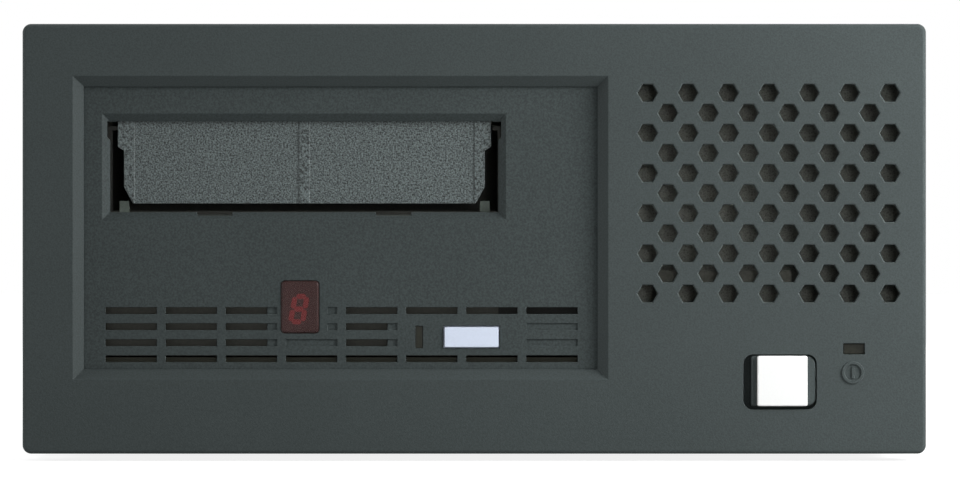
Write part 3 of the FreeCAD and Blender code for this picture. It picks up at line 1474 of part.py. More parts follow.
# ---------------------------------------------------------------------------------------------
# Leads
# ---------------------------------------------------------------------------------------------
def lead(points, radius, bend):
    """A round lead along straight runs joined by tangent arcs."""
    corners = [FreeCAD.Vector(*[number(c) for c in p]) for p in points]
    edges = []
    here = corners[0]
    for before, corner, after in zip(corners, corners[1:], corners[2:]):
        into, out = (corner - before).normalize(), (after - corner).normalize()
        reach = number(bend) * math.tan(into.getAngle(out) / 2)
        start, stop = corner - into * reach, corner + out * reach
        inward = (out - into).normalize()
        sag = number(bend) / math.cos(into.getAngle(out) / 2) - number(bend)
        edges.append(Part.LineSegment(here, start).toShape())
        edges.append(Part.Arc(start, corner + inward * sag, stop).toShape())
        here = stop
    edges.append(Part.LineSegment(here, corners[-1]).toShape())
    path = Part.Wire(edges)
    way = (corners[1] - corners[0]).normalize()
    section = Part.Wire(Part.makeCircle(number(radius), corners[0], way))
    made = doc.addObject("Part::Feature", "lead")
    made.Shape = path.makePipeShell([section], True, True)
    return made


def internal_leads():
    """Leads from the mains inlet to the supply, and from the supply to the drive and the button."""
    top = supply_board_top
    left = s.supply_right - s.supply_width / 2 + s.lead_block
    right = s.supply_right + s.supply_width / 2 - s.lead_block
    pitch = s.lead_pitch
    leads = []
    tabs = back + s.inlet_flange - s.inlet_deep - s.inlet_wall * 2 - s.pin_tab
    for i, (x, z) in enumerate(pin_places()):
        goal = (right + pitch * (i - 1), top + s.lead_block / 2)
        leads.append(lead(
            [
                (x, tabs, z), (x, tabs - s.lead_run, z),
                (goal[0], block_back + s.lead_run, goal[1]), (goal[0], block_back, goal[1]),
            ],
            s.lead_radius, s.lead_bend,
        ))
    for i in range(4):
        z = top + s.lead_radius * 1.5 + pitch * i
        goal_z = plug_z + pitch * (i - 1.5)
        leads.append(lead(
            [
                (left, block_back, z), (left, block_back + s.lead_loop, z),
                (plug_x, block_back + s.lead_loop, goal_z), (plug_x, frame_back, goal_z),
            ],
            s.lead_radius, s.lead_bend,
        ))
    node("internal_leads", group(*leads))


plug_x = drive_x + s.power_plug_right
logic_low = deck - s.deck_thick - s.motor_tall - s.board - s.board_rise / 2
plug_z = logic_low + s.board + s.power_plug_tall / 2
data_z = logic_low + s.board + s.data_plug_tall / 2


def data_cable():
    """The ribbon that joins the drive to both data connectors, with its three plugs."""
    start = frame_back
    end = back_inner - s.flange_thick - s.port_deep
    half = s.ribbon / 2
    reach = s.port_width / 2
    cable = Moulding()
    left = -s.port_left - reach + s.shell_wall
    for side, z in zip((-1, 1), port_heights()):
        z_from = data_z + side * s.data_plug_tall / 4
        line = [
            (start + s.ribbon_plug / 2, z_from), (start + s.lead_loop, z_from),
            (end - s.lead_loop, z), (end - s.ribbon_plug / 2, z),
        ]
        bends = [(), (s.lead_bend,), (s.lead_bend,), ()]
        corners = [(y, a + half, *bend) for (y, a), bend in zip(line, bends)]
        corners += [(y, a - half, *bend) for (y, a), bend in reversed(list(zip(line, bends)))]
        cable.pad(cable.draw("YZ", left).polygon(corners), s.port_width - 2 * s.shell_wall)
    plugs = [(start + s.ribbon_plug / 2, data_z, s.data_plug_tall)]
    plugs += [(end - s.ribbon_plug / 2, z, s.port_height) for z in port_heights()]
    for y, z, height in plugs:
        cable.pad(
            cable.draw("YZ", -s.port_left - reach).centred(y, z, s.ribbon_plug, height), s.port_width
        )
    node("data_cable", cable)


# ---------------------------------------------------------------------------------------------
# Drive: frame, covers, boards and the brackets that carry it
# ---------------------------------------------------------------------------------------------
# Chips on the main board: right of the drive's middle, behind the frame's front, and how many
# times the size of the smallest.
CHIPS = (
    (20.0, 30.0, 1.6),
    (-20.0, 96.0, 1.8),
    (14.0, 100.0, 1.0),
    (-55.0, 110.0, 1.0),
    (-52.0, 140.0, 1.3),
)

left_inner = drive_x - s.drive_width / 2 + s.drive_wall
aisle = slot_x - left_inner
lane = slot_x + aisle
tray_floor = slot_low + s.bay_rise
pin_z = tray_floor + s.pin_up
cam_low = deck + s.cam_up
shaft_z = deck + s.shaft_up
shaft_y = frame_y + s.shaft_back
motor_y = shaft_y - s.train_module * (PINION_TEETH + WHEEL_TEETH) / 2
path_low = deck + s.path_up
path_high = path_low + s.path_tall
arm_z = deck + s.arm_up
pivot = (drive_x - s.pivot_left, frame_y + s.pivot_back)
reel_at = (drive_x + s.reel_right, frame_y + s.reel_back)
clutch_at = (slot_x, frame_y + s.clutch_back)
rail_in = s.bay_inside / 2 + s.bay_wall + s.slip
rail_out = rail_in + s.rail_thick
cam_in = rail_out + s.cam_gap
stud_z = cam_low + s.stud_up


def drive_screw_places():
    """Where the brackets are screwed to the drive: (side, y, z)."""
    z = drive_low + s.drive_screw_up
    ys = (frame_y + s.drive_screw_front, frame_y + s.drive_screw_back)
    return [(side, y, z) for side in (-1, 1) for y in ys]


def drive_frame():
    """The die-cast frame: two side walls, the deck, the back wall and the wall beside the loader."""
    left, right = drive_x - s.drive_width / 2, drive_x + s.drive_width / 2
    wall = s.drive_wall
    bottom, top = drive_low + s.drive_lid, drive_high - s.drive_lid
    solids = [
        block((left, frame_y, bottom), (left + wall, frame_back, top)),
        block((right - wall, frame_y, bottom), (right, frame_back, top)),
        block((left, frame_y, deck - s.deck_thick), (right, frame_back, deck)),
        block((left, frame_back - wall, bottom), (right, frame_back, top)),
        block(
            (lane, frame_y, deck),
            (lane + wall, shaft_y + s.small_motor, tray_floor + s.rail_up + s.rail_tall),
        ),
        rod("Z", (*pivot, deck), s.pivot_radius, arm_z - deck + s.gear_wide + s.sheet),
    ]
    stud_y = frame_y + (s.pin_front + s.pin_back) / 2
    stud = aisle - cam_in + s.slip
    solids += [
        rod("X", (left_inner, stud_y, stud_z), s.pin_radius, stud),
        rod("X", (lane - stud, stud_y, stud_z), s.pin_radius, stud),
    ]
    for x, y in roller_places():
        seat, tip = path_low - s.flange - s.slip, path_high + s.flange + s.post_radius
        solids.append(rod("Z", (x, y, deck), s.post_radius * 2, seat - deck))
        solids.append(rod("Z", (x, y, deck), s.post_radius, tip - deck))
    through = wall * 2
    fit = s.pin_radius + s.cam_clear
    cuts = []
    for x in (left - wall / 2, lane - wall / 2):
        for y in (frame_y + s.pin_front, frame_y + s.pin_back):
            cuts.append(block((x, y - fit, pin_z - s.drop - fit), (x + through, y + fit, pin_z + fit)))
        cuts.append(rod("X", (x, shaft_y, shaft_z), s.shaft_thick + s.pin_clear, through))
    wheel = s.train_module * WHEEL_TEETH / 2 + s.train_module + s.slip * 4
    well_x = lane + wall + s.cam_gap - s.slip * 2
    cuts.append(block(
        (well_x, shaft_y - wheel, deck - s.deck_thick - wall),
        (well_x + s.gear_wide + s.slip * 4, shaft_y + wheel, deck + wall / 4),
    ))
    for x, y in (reel_at, clutch_at):
        cuts.append(rod("Z", (x, y, deck - s.deck_thick - wall), s.spindle * 2, through))
    for x, width, height in (
        (-s.port_left, s.port_width + s.flange_thick, s.data_plug_tall),
        (plug_x, s.power_plug_wide, s.power_plug_tall),
    ):
        cuts.append(block(
            (x - width / 2 - s.slip, frame_back - wall * 1.5, logic_low - s.slip),
            (x + width / 2 + s.slip, frame_back + wall, logic_low + s.board + height + s.slip),
        ))
    for side, y, z in drive_screw_places():
        start = drive_x + side * (s.drive_width - wall) / 2 - wall
        cuts.append(rod("X", (start, y, z), s.screw_radius + s.pin_clear, through))
    node("drive_frame", cut(fuse(*solids), *cuts))


def drive_lids():
    """The sheet covers above and below the frame."""
    left, right = drive_x - s.drive_width / 2, drive_x + s.drive_width / 2
    rim = s.lid_rim
    for label, z, side in (
        ("drive_top_cover", drive_high - s.drive_lid, 1), ("drive_bottom_cover", drive_low, -1)
    ):
        lid = Moulding()
        lid.pad(
            lid.draw("XY", z).rectangle(left, frame_y, right, frame_back, s.lid_corner), s.drive_lid
        )
        panel = lid.draw("XY", z + (s.drive_lid if side > 0 else 0 * rim)).rectangle(
            left + rim, frame_y + rim, right - rim, frame_back - rim, s.lid_corner
        )
        lid.pocket(panel, s.drive_lid / 3, -side)
        node(label, lid)


def logic_board():
    """The main board under the deck, with its chips and the plugs at its back edge."""
    gap = s.slip
    left, right = left_inner + gap, drive_x + s.drive_width / 2 - s.drive_wall - gap
    board = block(
        (left, frame_y + s.drive_wall, logic_low),
        (right, frame_back - s.drive_wall - gap, logic_low + s.board),
    )
    top = logic_low + s.board
    chips = [
        block(
            (drive_x + x, frame_y + y, top),
            (drive_x + x + s.chip * share, frame_y + y + s.chip * share, top + s.chip_tall),
        )
        for x, y, share in CHIPS
    ]
    back_edge = frame_back - s.drive_wall * 2
    plugs = [
        block((x - width / 2, back_edge, top), (x + width / 2, frame_back, top + height))
        for x, width, height in (
            (-s.port_left, s.port_width, s.data_plug_tall),
            (plug_x, s.power_plug_wide, s.power_plug_tall),
        )
    ]
    node("logic_board", fuse(board, *chips, *plugs))


def drive_brackets():
    """The two angle brackets that carry the drive above the floor of the case, and their screws."""
    brackets = []
    y0, y1 = frame_y + s.bracket_in, frame_back - s.bracket_in
    for side in (-1, 1):
        x = drive_x + side * s.drive_width / 2
        near, far = (x - s.sheet, x) if side < 0 else (x, x + s.sheet)
        foot = (near, near + s.bracket_foot) if side < 0 else (far - s.bracket_foot, far)
        ledge = (x - s.sheet, x + s.lid_rim) if side < 0 else (x - s.lid_rim, x + s.sheet)
        plate = fuse(
            block((near, y0, tray_top), (far, y1, drive_low + s.bracket_up)),
            block((foot[0], y0, tray_top), (foot[1], y1, tray_top + s.sheet)),
            block((ledge[0], y0, drive_low - s.sheet), (ledge[1], y1, drive_low)),
        )
        holes = [
            rod("X", (near - s.sheet, y, z), s.screw_radius + s.slip, s.sheet * 3)
            for which, y, z in drive_screw_places() if which == side
        ]
        holes += foot_screw_holes()
        brackets.append(cut(plate, *holes))
    node("drive_brackets", group(*brackets))
    node("drive_screws", group(*[
        pan_screw("X", (drive_x + side * (s.drive_width / 2 + s.sheet), y, z), side)
        for side, y, z in drive_screw_places()
    ]))


# ---------------------------------------------------------------------------------------------
# Drive: the plastic face with its door, key, lamp and display
# ---------------------------------------------------------------------------------------------
hinge_y = face_y + s.door_back + s.door_thick / 2
hinge_z = slot_high + s.door_hinge_up
feeler_y = face_y + s.feeler_back
feeler_z = slot_low - s.feeler_down
ear_in = s.door_half + s.ear_gap
ear_out = ear_in + s.ear_wide
key_at = (drive_x + s.key_right, drive_z - s.key_down)
status_at = (drive_x + s.status_right, drive_z - s.status_down)
display_at = (drive_x - s.display_left, drive_z - s.display_down)
panel_board_y = face_y + s.fascia_depth - s.slip - s.board

# The vent slots: first column and row, how many of each, the step between rows, where each slot
# starts and ends as a share of the full and the short length, and whether it goes right through.
LOUVRES = (
    (0, 0, 2, 4, 1, "full"),
    (4, 0, 4, 2, 3, "full"),
    (2, 3, 2, 1, 1, "full"),
    (2, 0, 1, 3, 1, "short"),
    (4, 1, 1, 2, 1, "short"),
    (2, 0, 1, 3, 1, "stub"),
    (4, 1, 1, 2, 1, "stub"),
    (3, 0, 1, 2, 1, "stub"),
    (3, 2, 1, 1, 1, "blank"),
    (7, 1, 1, 2, 1, "blank"),
)


def drive_bezel():
    """The plastic face of the drive: slot with its bevel, vents, windows and the door's hinge ears."""
    half_w, half_h = s.drive_width / 2, s.drive_height / 2
    shell = Moulding()
    shell.pad(
        shell.draw("XZ", face_y).rectangle(
            drive_x - half_w, drive_z - half_h, drive_x + half_w, drive_z + half_h
        ),
        s.fascia_depth,
    )
    skirt = s.fascia_skirt
    shell.pocket(
        shell.draw("XZ", face_y + s.fascia_wall).rectangle(
            drive_x - half_w + skirt, drive_z - half_h + skirt,
            drive_x + half_w - skirt, drive_z + half_h - skirt,
        ),
        s.fascia_depth,
    )
    for x in (-ear_out, ear_in):
        shell.pad(
            shell.draw("YZ", slot_x + x).rectangle(
                face_y + s.fascia_wall, hinge_z - s.ear_wide, hinge_y + s.ear_wide, hinge_z + s.ear_wide
            ),
            s.ear_wide,
        )
        shell.pad(
            shell.draw("YZ", slot_x + x).rectangle(
                face_y + s.fascia_wall, feeler_z - s.ear_wide, feeler_y + s.ear_wide * 0.5,
                feeler_z + s.feeler_down,
            ),
            s.ear_wide,
        )
    for y, z, radius in ((hinge_y, hinge_z, s.door_pin), (feeler_y, feeler_z, s.feeler_shaft)):
        shell.pocket(
            shell.draw("YZ", slot_x - ear_out).circle(y, z, radius + s.pin_clear), ear_out * 2
        )
    bevel = s.slot_bevel
    shell.pocket(
        shell.draw("XZ", face_y).centred(
            slot_x, slot_z, s.slot_width + bevel * 2, s.slot_height + bevel * 2
        ),
        bevel, taper=-45.0,
    )
    reach, rise = s.slot_width / 2, s.slot_height / 2
    notch, relief = s.notch_width / 2, s.slot_relief
    shoulder = slot_high - s.slot_relief_height
    floor = slot_low - s.notch_depth
    shell.pocket(
        shell.draw("XZ", face_y).polygon([
            (slot_x - reach, slot_low),
            (slot_x - s.notch_out - notch, slot_low), (slot_x - s.notch_out - notch, floor),
            (slot_x - s.notch_out + notch, floor), (slot_x - s.notch_out + notch, slot_low),
            (slot_x + s.notch_out - notch, slot_low), (slot_x + s.notch_out - notch, floor),
            (slot_x + s.notch_out + notch, floor), (slot_x + s.notch_out + notch, slot_low),
            (slot_x + reach, slot_low), (slot_x + reach, shoulder - relief),
            (slot_x + reach + relief, shoulder), (slot_x + reach + relief, slot_high),
            (slot_x - reach - relief, slot_high), (slot_x - reach - relief, shoulder),
            (slot_x - reach, shoulder - relief),
        ]),
        s.fascia_wall,
    )
    gap = s.slip
    for (x, z), width, height, corner in (
        (display_at, s.display_width + gap, s.display_height + gap, s.display_corner),
        (status_at, s.status_width + gap, s.status_height + gap, None),
        (key_at, s.key_width + s.key_gap * 2, s.key_height + s.key_gap * 2, None),
    ):
        shell.pocket(shell.draw("XZ", face_y).centred(x, z, width, height, corner), s.fascia_wall)
    for column, row, columns, rows, step, kind in LOUVRES:
        start, end = {
            "full": (0.0, s.louvre_length), "short": (0.0, s.louvre_short),
            "stub": (s.louvre_short, s.louvre_length), "blank": (0.0, s.louvre_length),
        }[kind]
        x = drive_x - s.louvre_left + s.louvre_across * column
        z = drive_z - s.louvre_down - s.louvre_up * (row + (rows - 1) * step)
        slot = shell.draw("XZ", face_y).rectangle(
            x + start, z - s.louvre_height / 2, x + end, z + s.louvre_height / 2
        )
        depth = s.fascia_wall if kind in ("full", "short") else s.blank_depth
        made = shell.pocket(slot, depth)
        if columns * rows > 1:
            shell.grid([made], slot, columns, s.louvre_across, rows, s.louvre_up * step)
    node("drive_bezel", shell)


def slot_door():
    """The hinged door of the slot, and the shaft with two tabs that feels the cartridge."""
    y, x = face_y + s.door_back, slot_x
    foot_z = slot_low + s.door_clear
    cut_z, step_z = foot_z + s.door_cut_up, foot_z + s.door_step_up
    slope = (s.door_half - s.door_waist) * 0.6
    door = Moulding()
    outline = [
        (s.door_foot, foot_z), (s.door_waist, cut_z), (s.door_waist, step_z - slope),
        (s.door_half, step_z), (s.door_half, hinge_z),
    ]
    door.pad(
        door.draw("XZ", y).polygon(
            [(x + a, b) for a, b in outline] + [(x - a, b) for a, b in reversed(outline)]
        ),
        s.door_thick,
    )
    door.pocket(
        door.draw("XZ", y).rectangle(x - s.door_panel, foot_z, x + s.door_panel, hinge_z), s.door_relief
    )
    door.pad(
        door.draw("XZ", y + s.door_relief).rectangle(
            x - s.door_rib / 2, foot_z, x + s.door_rib / 2, hinge_z
        ),
        s.door_relief, -1,
    )
    door.pad(door.draw("YZ", x - s.door_half).circle(hinge_y, hinge_z, s.door_barrel), s.door_half * 2)
    left_pin = ear_out - s.door_half + s.spring_room
    door.pad(door.draw("YZ", x - s.door_half).circle(hinge_y, hinge_z, s.door_pin), left_pin, -1)
    door.pad(
        door.draw("YZ", x + s.door_half).circle(hinge_y, hinge_z, s.door_pin),
        ear_out - s.door_half - s.slip,
    )
    node("slot_door", door)

    shaft = ear_out - s.slip
    tabs = [
        block(
            (x + out - s.tab_width / 2, feeler_y - s.feeler_shaft * 0.6, feeler_z),
            (x + out + s.tab_width / 2, feeler_y + s.feeler_shaft * 0.6, feeler_z + s.tab_up),
        )
        for out in (-s.tab_out, s.tab_out)
    ]
    bar = rod("X", (x - shaft, feeler_y, feeler_z), s.feeler_shaft, shaft * 2)
    node("cartridge_feeler", fuse(bar, *tabs))

    wire = s.spring_wire
    length = s.spring_room - wire * 2
    node("door_spring", coil(
        "X", (x - ear_out - s.spring_room + wire, hinge_y, hinge_z),
        s.door_pin + wire - s.slip / 2, wire, length, DOOR_SPRING_TURNS,
    ))


def face_fittings():
    """Unload key, display window and module, status lamp, and the board that they belong to."""
    x, z = key_at
    wide, tall = s.key_width / 2, s.key_height / 2
    inner = face_y + s.fascia_wall + s.slip
    key = Moulding()
    key.pad(
        key.draw("XZ", face_y - s.key_proud).centred(x, z, s.key_width, s.key_height, s.key_gap),
        inner + s.key_flange - face_y + s.key_proud,
    )
    lip = s.key_flange
    key.pad(
        key.draw("XZ", inner).centred(x, z, s.key_width + lip * 2, s.key_height + lip * 2), lip
    )
    stem = panel_board_y - s.key_switch - s.key_travel - s.slip
    key.pad(key.draw("XZ", inner + lip).centred(x, z, lip * 2, lip * 2), stem - inner - lip)
    node("unload_key", key)

    window = Moulding()
    window.pad(
        window.draw("XZ", face_y - s.display_proud).centred(
            *display_at, s.display_width, s.display_height, s.display_corner
        ),
        s.display_proud + s.fascia_wall,
    )
    window.soften("Chamfer", s.display_proud * 0.9, lambda e: lies(e, "Y", face_y - s.display_proud))
    node("display_window", window)

    module_y = face_y + s.fascia_wall + s.slip
    half_w, half_h = s.display_width / 2 - s.slip, s.display_height / 2 - s.slip
    dx, dz = display_at
    node("display_module", block(
        (dx - half_w, module_y, dz - half_h), (dx + half_w, panel_board_y, dz + half_h)
    ))
    lamp_x, lamp_z = status_at
    node("status_lamp_lens", block(
        (lamp_x - s.status_width / 2, face_y + s.slip, lamp_z - s.status_height / 2),
        (lamp_x + s.status_width / 2, panel_board_y - s.slip, lamp_z + s.status_height / 2),
    ))
    left = drive_x - s.drive_width / 2 + s.fascia_skirt + s.slip
    right = key_at[0] + s.key_width / 2
    board = block(
        (left, panel_board_y, drive_low + s.board_rise * 2),
        (right, panel_board_y + s.board, dz + s.display_height / 2 + s.board_rise),
    )
    switch = block(
        (x - lip * 3, panel_board_y - s.key_switch, z - lip * 2),
        (x + lip * 3, panel_board_y, z + lip * 2),
    )
    node("front_panel_board", fuse(board, switch))


# ---------------------------------------------------------------------------------------------
# Drive: cartridge loader
# ---------------------------------------------------------------------------------------------
def gear_face(teeth, module, towards, gap):
    """The face of an involute gear about the origin, with a gap or a tooth towards an angle."""
    m = number(module)
    pitch = teeth * m / 2
    base = pitch * math.cos(PRESSURE_ANGLE)
    root, tip = pitch - GEAR_ROOT * m, pitch + GEAR_TIP * m
    step = 2 * math.pi / teeth
    half = (math.pi * m / 2 - number(s.backlash)) / 2 / pitch

    def involute(radius):
        """The involute function at a radius."""
        angle = math.acos(min(1.0, base / radius))
        return math.tan(angle) - angle

    radii = [max(base, root) + (tip - max(base, root)) * i / 4 for i in range(5)]
    flank = [(r, half + involute(pitch) - involute(r)) for r in radii]
    flank.insert(0, (root, flank[0][1]))
    points = []
    for i in range(teeth):
        middle = towards + step * (i + (0.5 if gap else 0.0))
        points += [(r, middle - spread) for r, spread in flank]
        points += [(r, middle + spread) for r, spread in reversed(flank)]
    corners = [FreeCAD.Vector(r * math.cos(a), r * math.sin(a), 0) for r, a in points]
    return Part.Face(Part.makePolygon(corners + corners[:1]))


def gear(axis, start, teeth, module, towards, gap=True):
    """A gear of the common face width."""
    made = doc.addObject("Part::Feature", "gear")
    face = gear_face(teeth, module, towards, gap)
    made.Shape = face.extrude(FreeCAD.Vector(0, 0, number(s.gear_wide)))
    return place(made, start, TURN[axis])


# Angles in the plane of a gear that turns about X: its own x axis points down and its y axis back.
UP = math.pi
AHEAD = -math.pi / 2
BEHIND = math.pi / 2


def lift_frame():
    """Two grooved rails joined by a bridge over the tray, with the pins that ride in the cams."""
    y0 = frame_y + s.bay_front / 2
    low_z, top = tray_floor + s.rail_up, tray_floor + s.rail_up + s.rail_tall
    bridge_z = tray_floor + s.bay_tall + s.bay_floor + s.slip * 2
    bridge_y = y0 + s.bay_long / 2
    bridge_end, bridge_top = bridge_y + s.bridge_wide, bridge_z + s.bay_wall
    pin_end = aisle + s.drive_wall / 2
    pieces, grooves = [], []
    for side in (-1, 1):
        inner, outer = sorted((slot_x + side * rail_in, slot_x + side * rail_out), key=number)
        pieces.append(block((inner, y0, low_z), (outer, y0 + s.rail_long, top)))
        pieces.append(block((inner, bridge_y, top), (outer, bridge_end, bridge_top)))
        groove = sorted((side * rail_in, side * (rail_in + s.key_groove)), key=number)
        grooves.append(block(
            (slot_x + groove[0], y0 - s.slip, pin_z - s.rail_thick - s.slip),
            (slot_x + groove[1], y0 + s.rail_long + s.slip, pin_z + s.slip),
        ))
        start = slot_x + (rail_out if side > 0 else -pin_end)
        for y in (frame_y + s.pin_front, frame_y + s.pin_back):
            pieces.append(rod("X", (start, y, pin_z), s.pin_radius, pin_end - rail_out))
    pieces.append(block(
        (slot_x - rail_out, bridge_y, bridge_z), (slot_x + rail_out, bridge_end, bridge_top)
    ))
    node("lift_frame", cut(fuse(*pieces), *grooves))


def cartridge_tray():
    """The open-fronted tray that the cartridge slides into."""
    y0 = frame_y + s.bay_front
    y1 = y0 + s.bay_long
    half = s.bay_inside / 2
    outer = half + s.bay_wall
    under, top = tray_floor - s.bay_floor, tray_floor + s.bay_tall
    key_y = y0 + s.bay_wall
    walls = [
        block((slot_x - outer, y0, under), (slot_x + outer, y1, tray_floor)),
        block((slot_x - outer, y1 - s.bay_wall, under), (slot_x + outer, y1, top)),
    ]
    for side in (-1, 1):
        for a, b, z0, z1, start in (
            (half, outer, under, top + s.bay_floor, y0),
            (half - s.bay_lip, outer, top, top + s.bay_floor, y0),
            (outer, outer + s.key_groove, pin_z - s.rail_thick, pin_z - s.slip, key_y),
        ):
            xs = sorted((slot_x + side * a, slot_x + side * b), key=number)
            walls.append(block((xs[0], start, z0), (xs[1], y1, z1)))
    reach = s.clutch_radius + s.bay_floor * 2
    window_end = frame_y + s.clutch_back + s.clutch_radius + s.bay_floor
    window = block(
        (slot_x - reach, y0 + s.draw_in, under - s.bay_wall),
        (slot_x + reach, window_end, tray_floor + s.bay_wall),
    )
    node("cartridge_tray", cut(fuse(*walls), window))


def cam_plates():
    """The two plates whose slanted slots raise and lower the lift frame, each with its rack."""
    plates = []
    plate_front = frame_y + s.bay_front / 2
    high_back = frame_y + s.pin_back + s.pin_radius * 4
    low_back = shaft_y + s.cam_travel
    pitch_z = shaft_z + s.rack_module * PINION_TEETH / 2
    root_z = pitch_z + GEAR_ROOT * s.rack_module
    gap_z = shaft_z - s.rack_module * (PINION_TEETH / 2 + 1) - s.slip * 2
    fit = s.pin_radius + s.cam_clear
    pitch = s.rack_module * math.pi
    first = shaft_y - pitch * 7
    for x in (slot_x - cam_in - s.cam_thick, slot_x + cam_in):
        plate = Moulding()
        plate.pad(
            plate.draw("YZ", x).polygon([
                (plate_front, cam_low), (low_back, cam_low), (low_back, deck + s.cam_step),
                (high_back, deck + s.cam_step), (high_back, deck + s.cam_top),
                (plate_front, deck + s.cam_top),
            ]),
            s.cam_thick,
        )
        ways = [
            (frame_y + y, pin_z, frame_y + y - s.cam_travel, pin_z - s.drop)
            for y in (s.pin_front, s.pin_back)
        ]
        stud_y = frame_y + (s.pin_front + s.pin_back) / 2
        ways.append((stud_y, stud_z, stud_y - s.cam_travel, stud_z))
        for way in ways:
            plate.pocket(plate.draw("YZ", x).polygon(slanted_slot(*way, fit)), s.cam_thick)
        plate.pocket(
            plate.draw("YZ", x).rectangle(
                first - pitch, gap_z, shaft_y + s.rack_module * PINION_TEETH / 2 + s.slip * 4, root_z
            ),
            s.cam_thick,
        )
        half = (pitch / 2 - s.backlash) / 2
        lean = math.tan(PRESSURE_ANGLE)
        tip_z = pitch_z - GEAR_TIP * s.rack_module
        root = half + GEAR_ROOT * s.rack_module * lean
        tip = half - GEAR_TIP * s.rack_module * lean
        tooth = plate.draw("YZ", x).polygon([
            (first - root, root_z), (first - tip, tip_z), (first + tip, tip_z), (first + root, root_z)
        ])
        plate.grid([plate.pad(tooth, s.cam_thick)], tooth, RACK_TEETH, pitch, 1, pitch)
        plates.append(plate.body)
    node("cam_plates", group(*plates))


def slanted_slot(y_from, z_from, y_to, z_to, reach):
    """The outline of a slot between two points, squared at its ends and wide enough for a pin."""
    y_step, z_step = number(y_from - y_to), number(z_from - z_to)
    length = math.hypot(y_step, z_step)
    along = (y_step / length, z_step / length)
    across = (-along[1], along[0])

    def corner(y, z, forward, side):
        """A corner of the slot beside one of its ends."""
        return (
            y + reach * (forward * along[0] + side * across[0]),
            z + reach * (forward * along[1] + side * across[1]),
        )

    return [
        corner(y_from, z_from, 1, 1), corner(y_to, z_to, -1, 1),
        corner(y_to, z_to, -1, -1), corner(y_from, z_from, 1, -1),
    ]


def loader_drive():
    """The cam shaft with its pinions and wheel, and the motor that turns it."""
    wheel_x = lane + s.drive_wall + s.cam_gap
    start = left_inner - s.drive_wall * 0.8
    shaft = rod("X", (start, shaft_y, shaft_z), s.shaft_thick, wheel_x + s.gear_wide * 1.5 - start)
    pinion_in = (cam_in + s.cam_thick / 2) - s.gear_wide / 2
    pinions = [
        gear("X", (x, shaft_y, shaft_z), PINION_TEETH, s.rack_module, UP)
        for x in (slot_x - pinion_in - s.gear_wide + s.slip * 2, slot_x + pinion_in - s.slip * 2)
    ]
    wheel = gear("X", (wheel_x, shaft_y, shaft_z), WHEEL_TEETH, s.train_module, AHEAD)
    node("cam_shaft", fuse(shaft, *pinions, wheel))

    motor_x = wheel_x + s.gear_wide + s.cam_gap
    wall = drive_x + s.drive_width / 2 - s.drive_wall
    node("loader_motor", cut(
        rod("X", (motor_x, motor_y, shaft_z), s.small_motor, wall - motor_x),
        rod("X", (motor_x - s.slip, motor_y, shaft_z), s.post_radius + s.pin_clear, s.small_motor),
    ))
    small = gear("X", (wheel_x, motor_y, shaft_z), PINION_TEETH, s.train_module, BEHIND, gap=False)
    axle_end = motor_x + s.small_motor - s.slip * 2
    axle = rod("X", (wheel_x, motor_y, shaft_z), s.post_radius, axle_end - wheel_x)
    node("loader_pinion", fuse(small, axle))


# ---------------------------------------------------------------------------------------------
# Drive: tape path
# ---------------------------------------------------------------------------------------------
def roller_places():
    """The guide rollers stand on an arc about the threader's pivot."""
    turns = [math.radians(a) for a in ROLLER_SWINGS]
    return [
        (pivot[0] - s.post_ring * math.cos(a), pivot[1] + s.post_ring * math.sin(a)) for a in turns
    ]


def reels():
    """The take-up reel, the clutch that turns the cartridge's reel, and the motors of both."""
    floor = deck - s.deck_thick - s.motor_tall
    hub_z, top = path_low - s.flange, path_high
    x, y = reel_at
    spindle = rod("Z", (x, y, floor + s.drive_lid), s.spindle, top - floor)
    node("takeup_reel", fuse(
        rod("Z", (x, y, hub_z), s.reel_radius, s.flange),
        rod("Z", (x, y, hub_z), s.reel_hub, top - hub_z),
        rod("Z", (x, y, top), s.reel_radius, s.flange),
        spindle,
    ))
    x, y = clutch_at
    clutch_top = tray_floor - s.bay_floor - s.clutch_gap
    disc_low = clutch_top - s.flange * 4
    teeth = []
    ring_at = s.clutch_radius - s.flange * 2
    for i in range(CLUTCH_TEETH):
        angle = 2 * math.pi * i / CLUTCH_TEETH
        at = (x + ring_at * math.cos(angle), y + ring_at * math.sin(angle), clutch_top - s.flange * 2)
        teeth.append(rod("Z", at, s.flange, s.flange * 2))
    node("reel_clutch", fuse(
        rod("Z", (x, y, disc_low), s.clutch_radius, s.flange * 2),
        rod("Z", (x, y, floor + s.drive_lid), s.spindle, clutch_top - floor - s.drive_lid),
        *teeth,
    ))
    node("reel_motors", group(*[
        cut(
            rod("Z", (*at, floor), s.motor_radius, s.motor_tall),
            rod("Z", (*at, floor + s.drive_lid - s.slip), s.spindle + s.pin_clear, s.motor_tall),
        )
        for at in (reel_at, clutch_at)
    ]))


def guide_rollers():
    """Four flanged rollers, each on its own post."""
    for i, (x, y) in enumerate(roller_places()):
        rims = [rod("Z", (x, y, z), s.roller_rim, s.flange) for z in (path_low - s.flange, path_high)]
        body = rod("Z", (x, y, path_low), s.roller_radius, s.path_tall)
        bore = rod(
            "Z", (x, y, path_low - s.flange * 2),
            s.post_radius + s.pin_clear, s.path_tall + s.flange * 4,
        )
        node(f"guide_roller_{i + 1}", cut(fuse(body, *rims), bore))


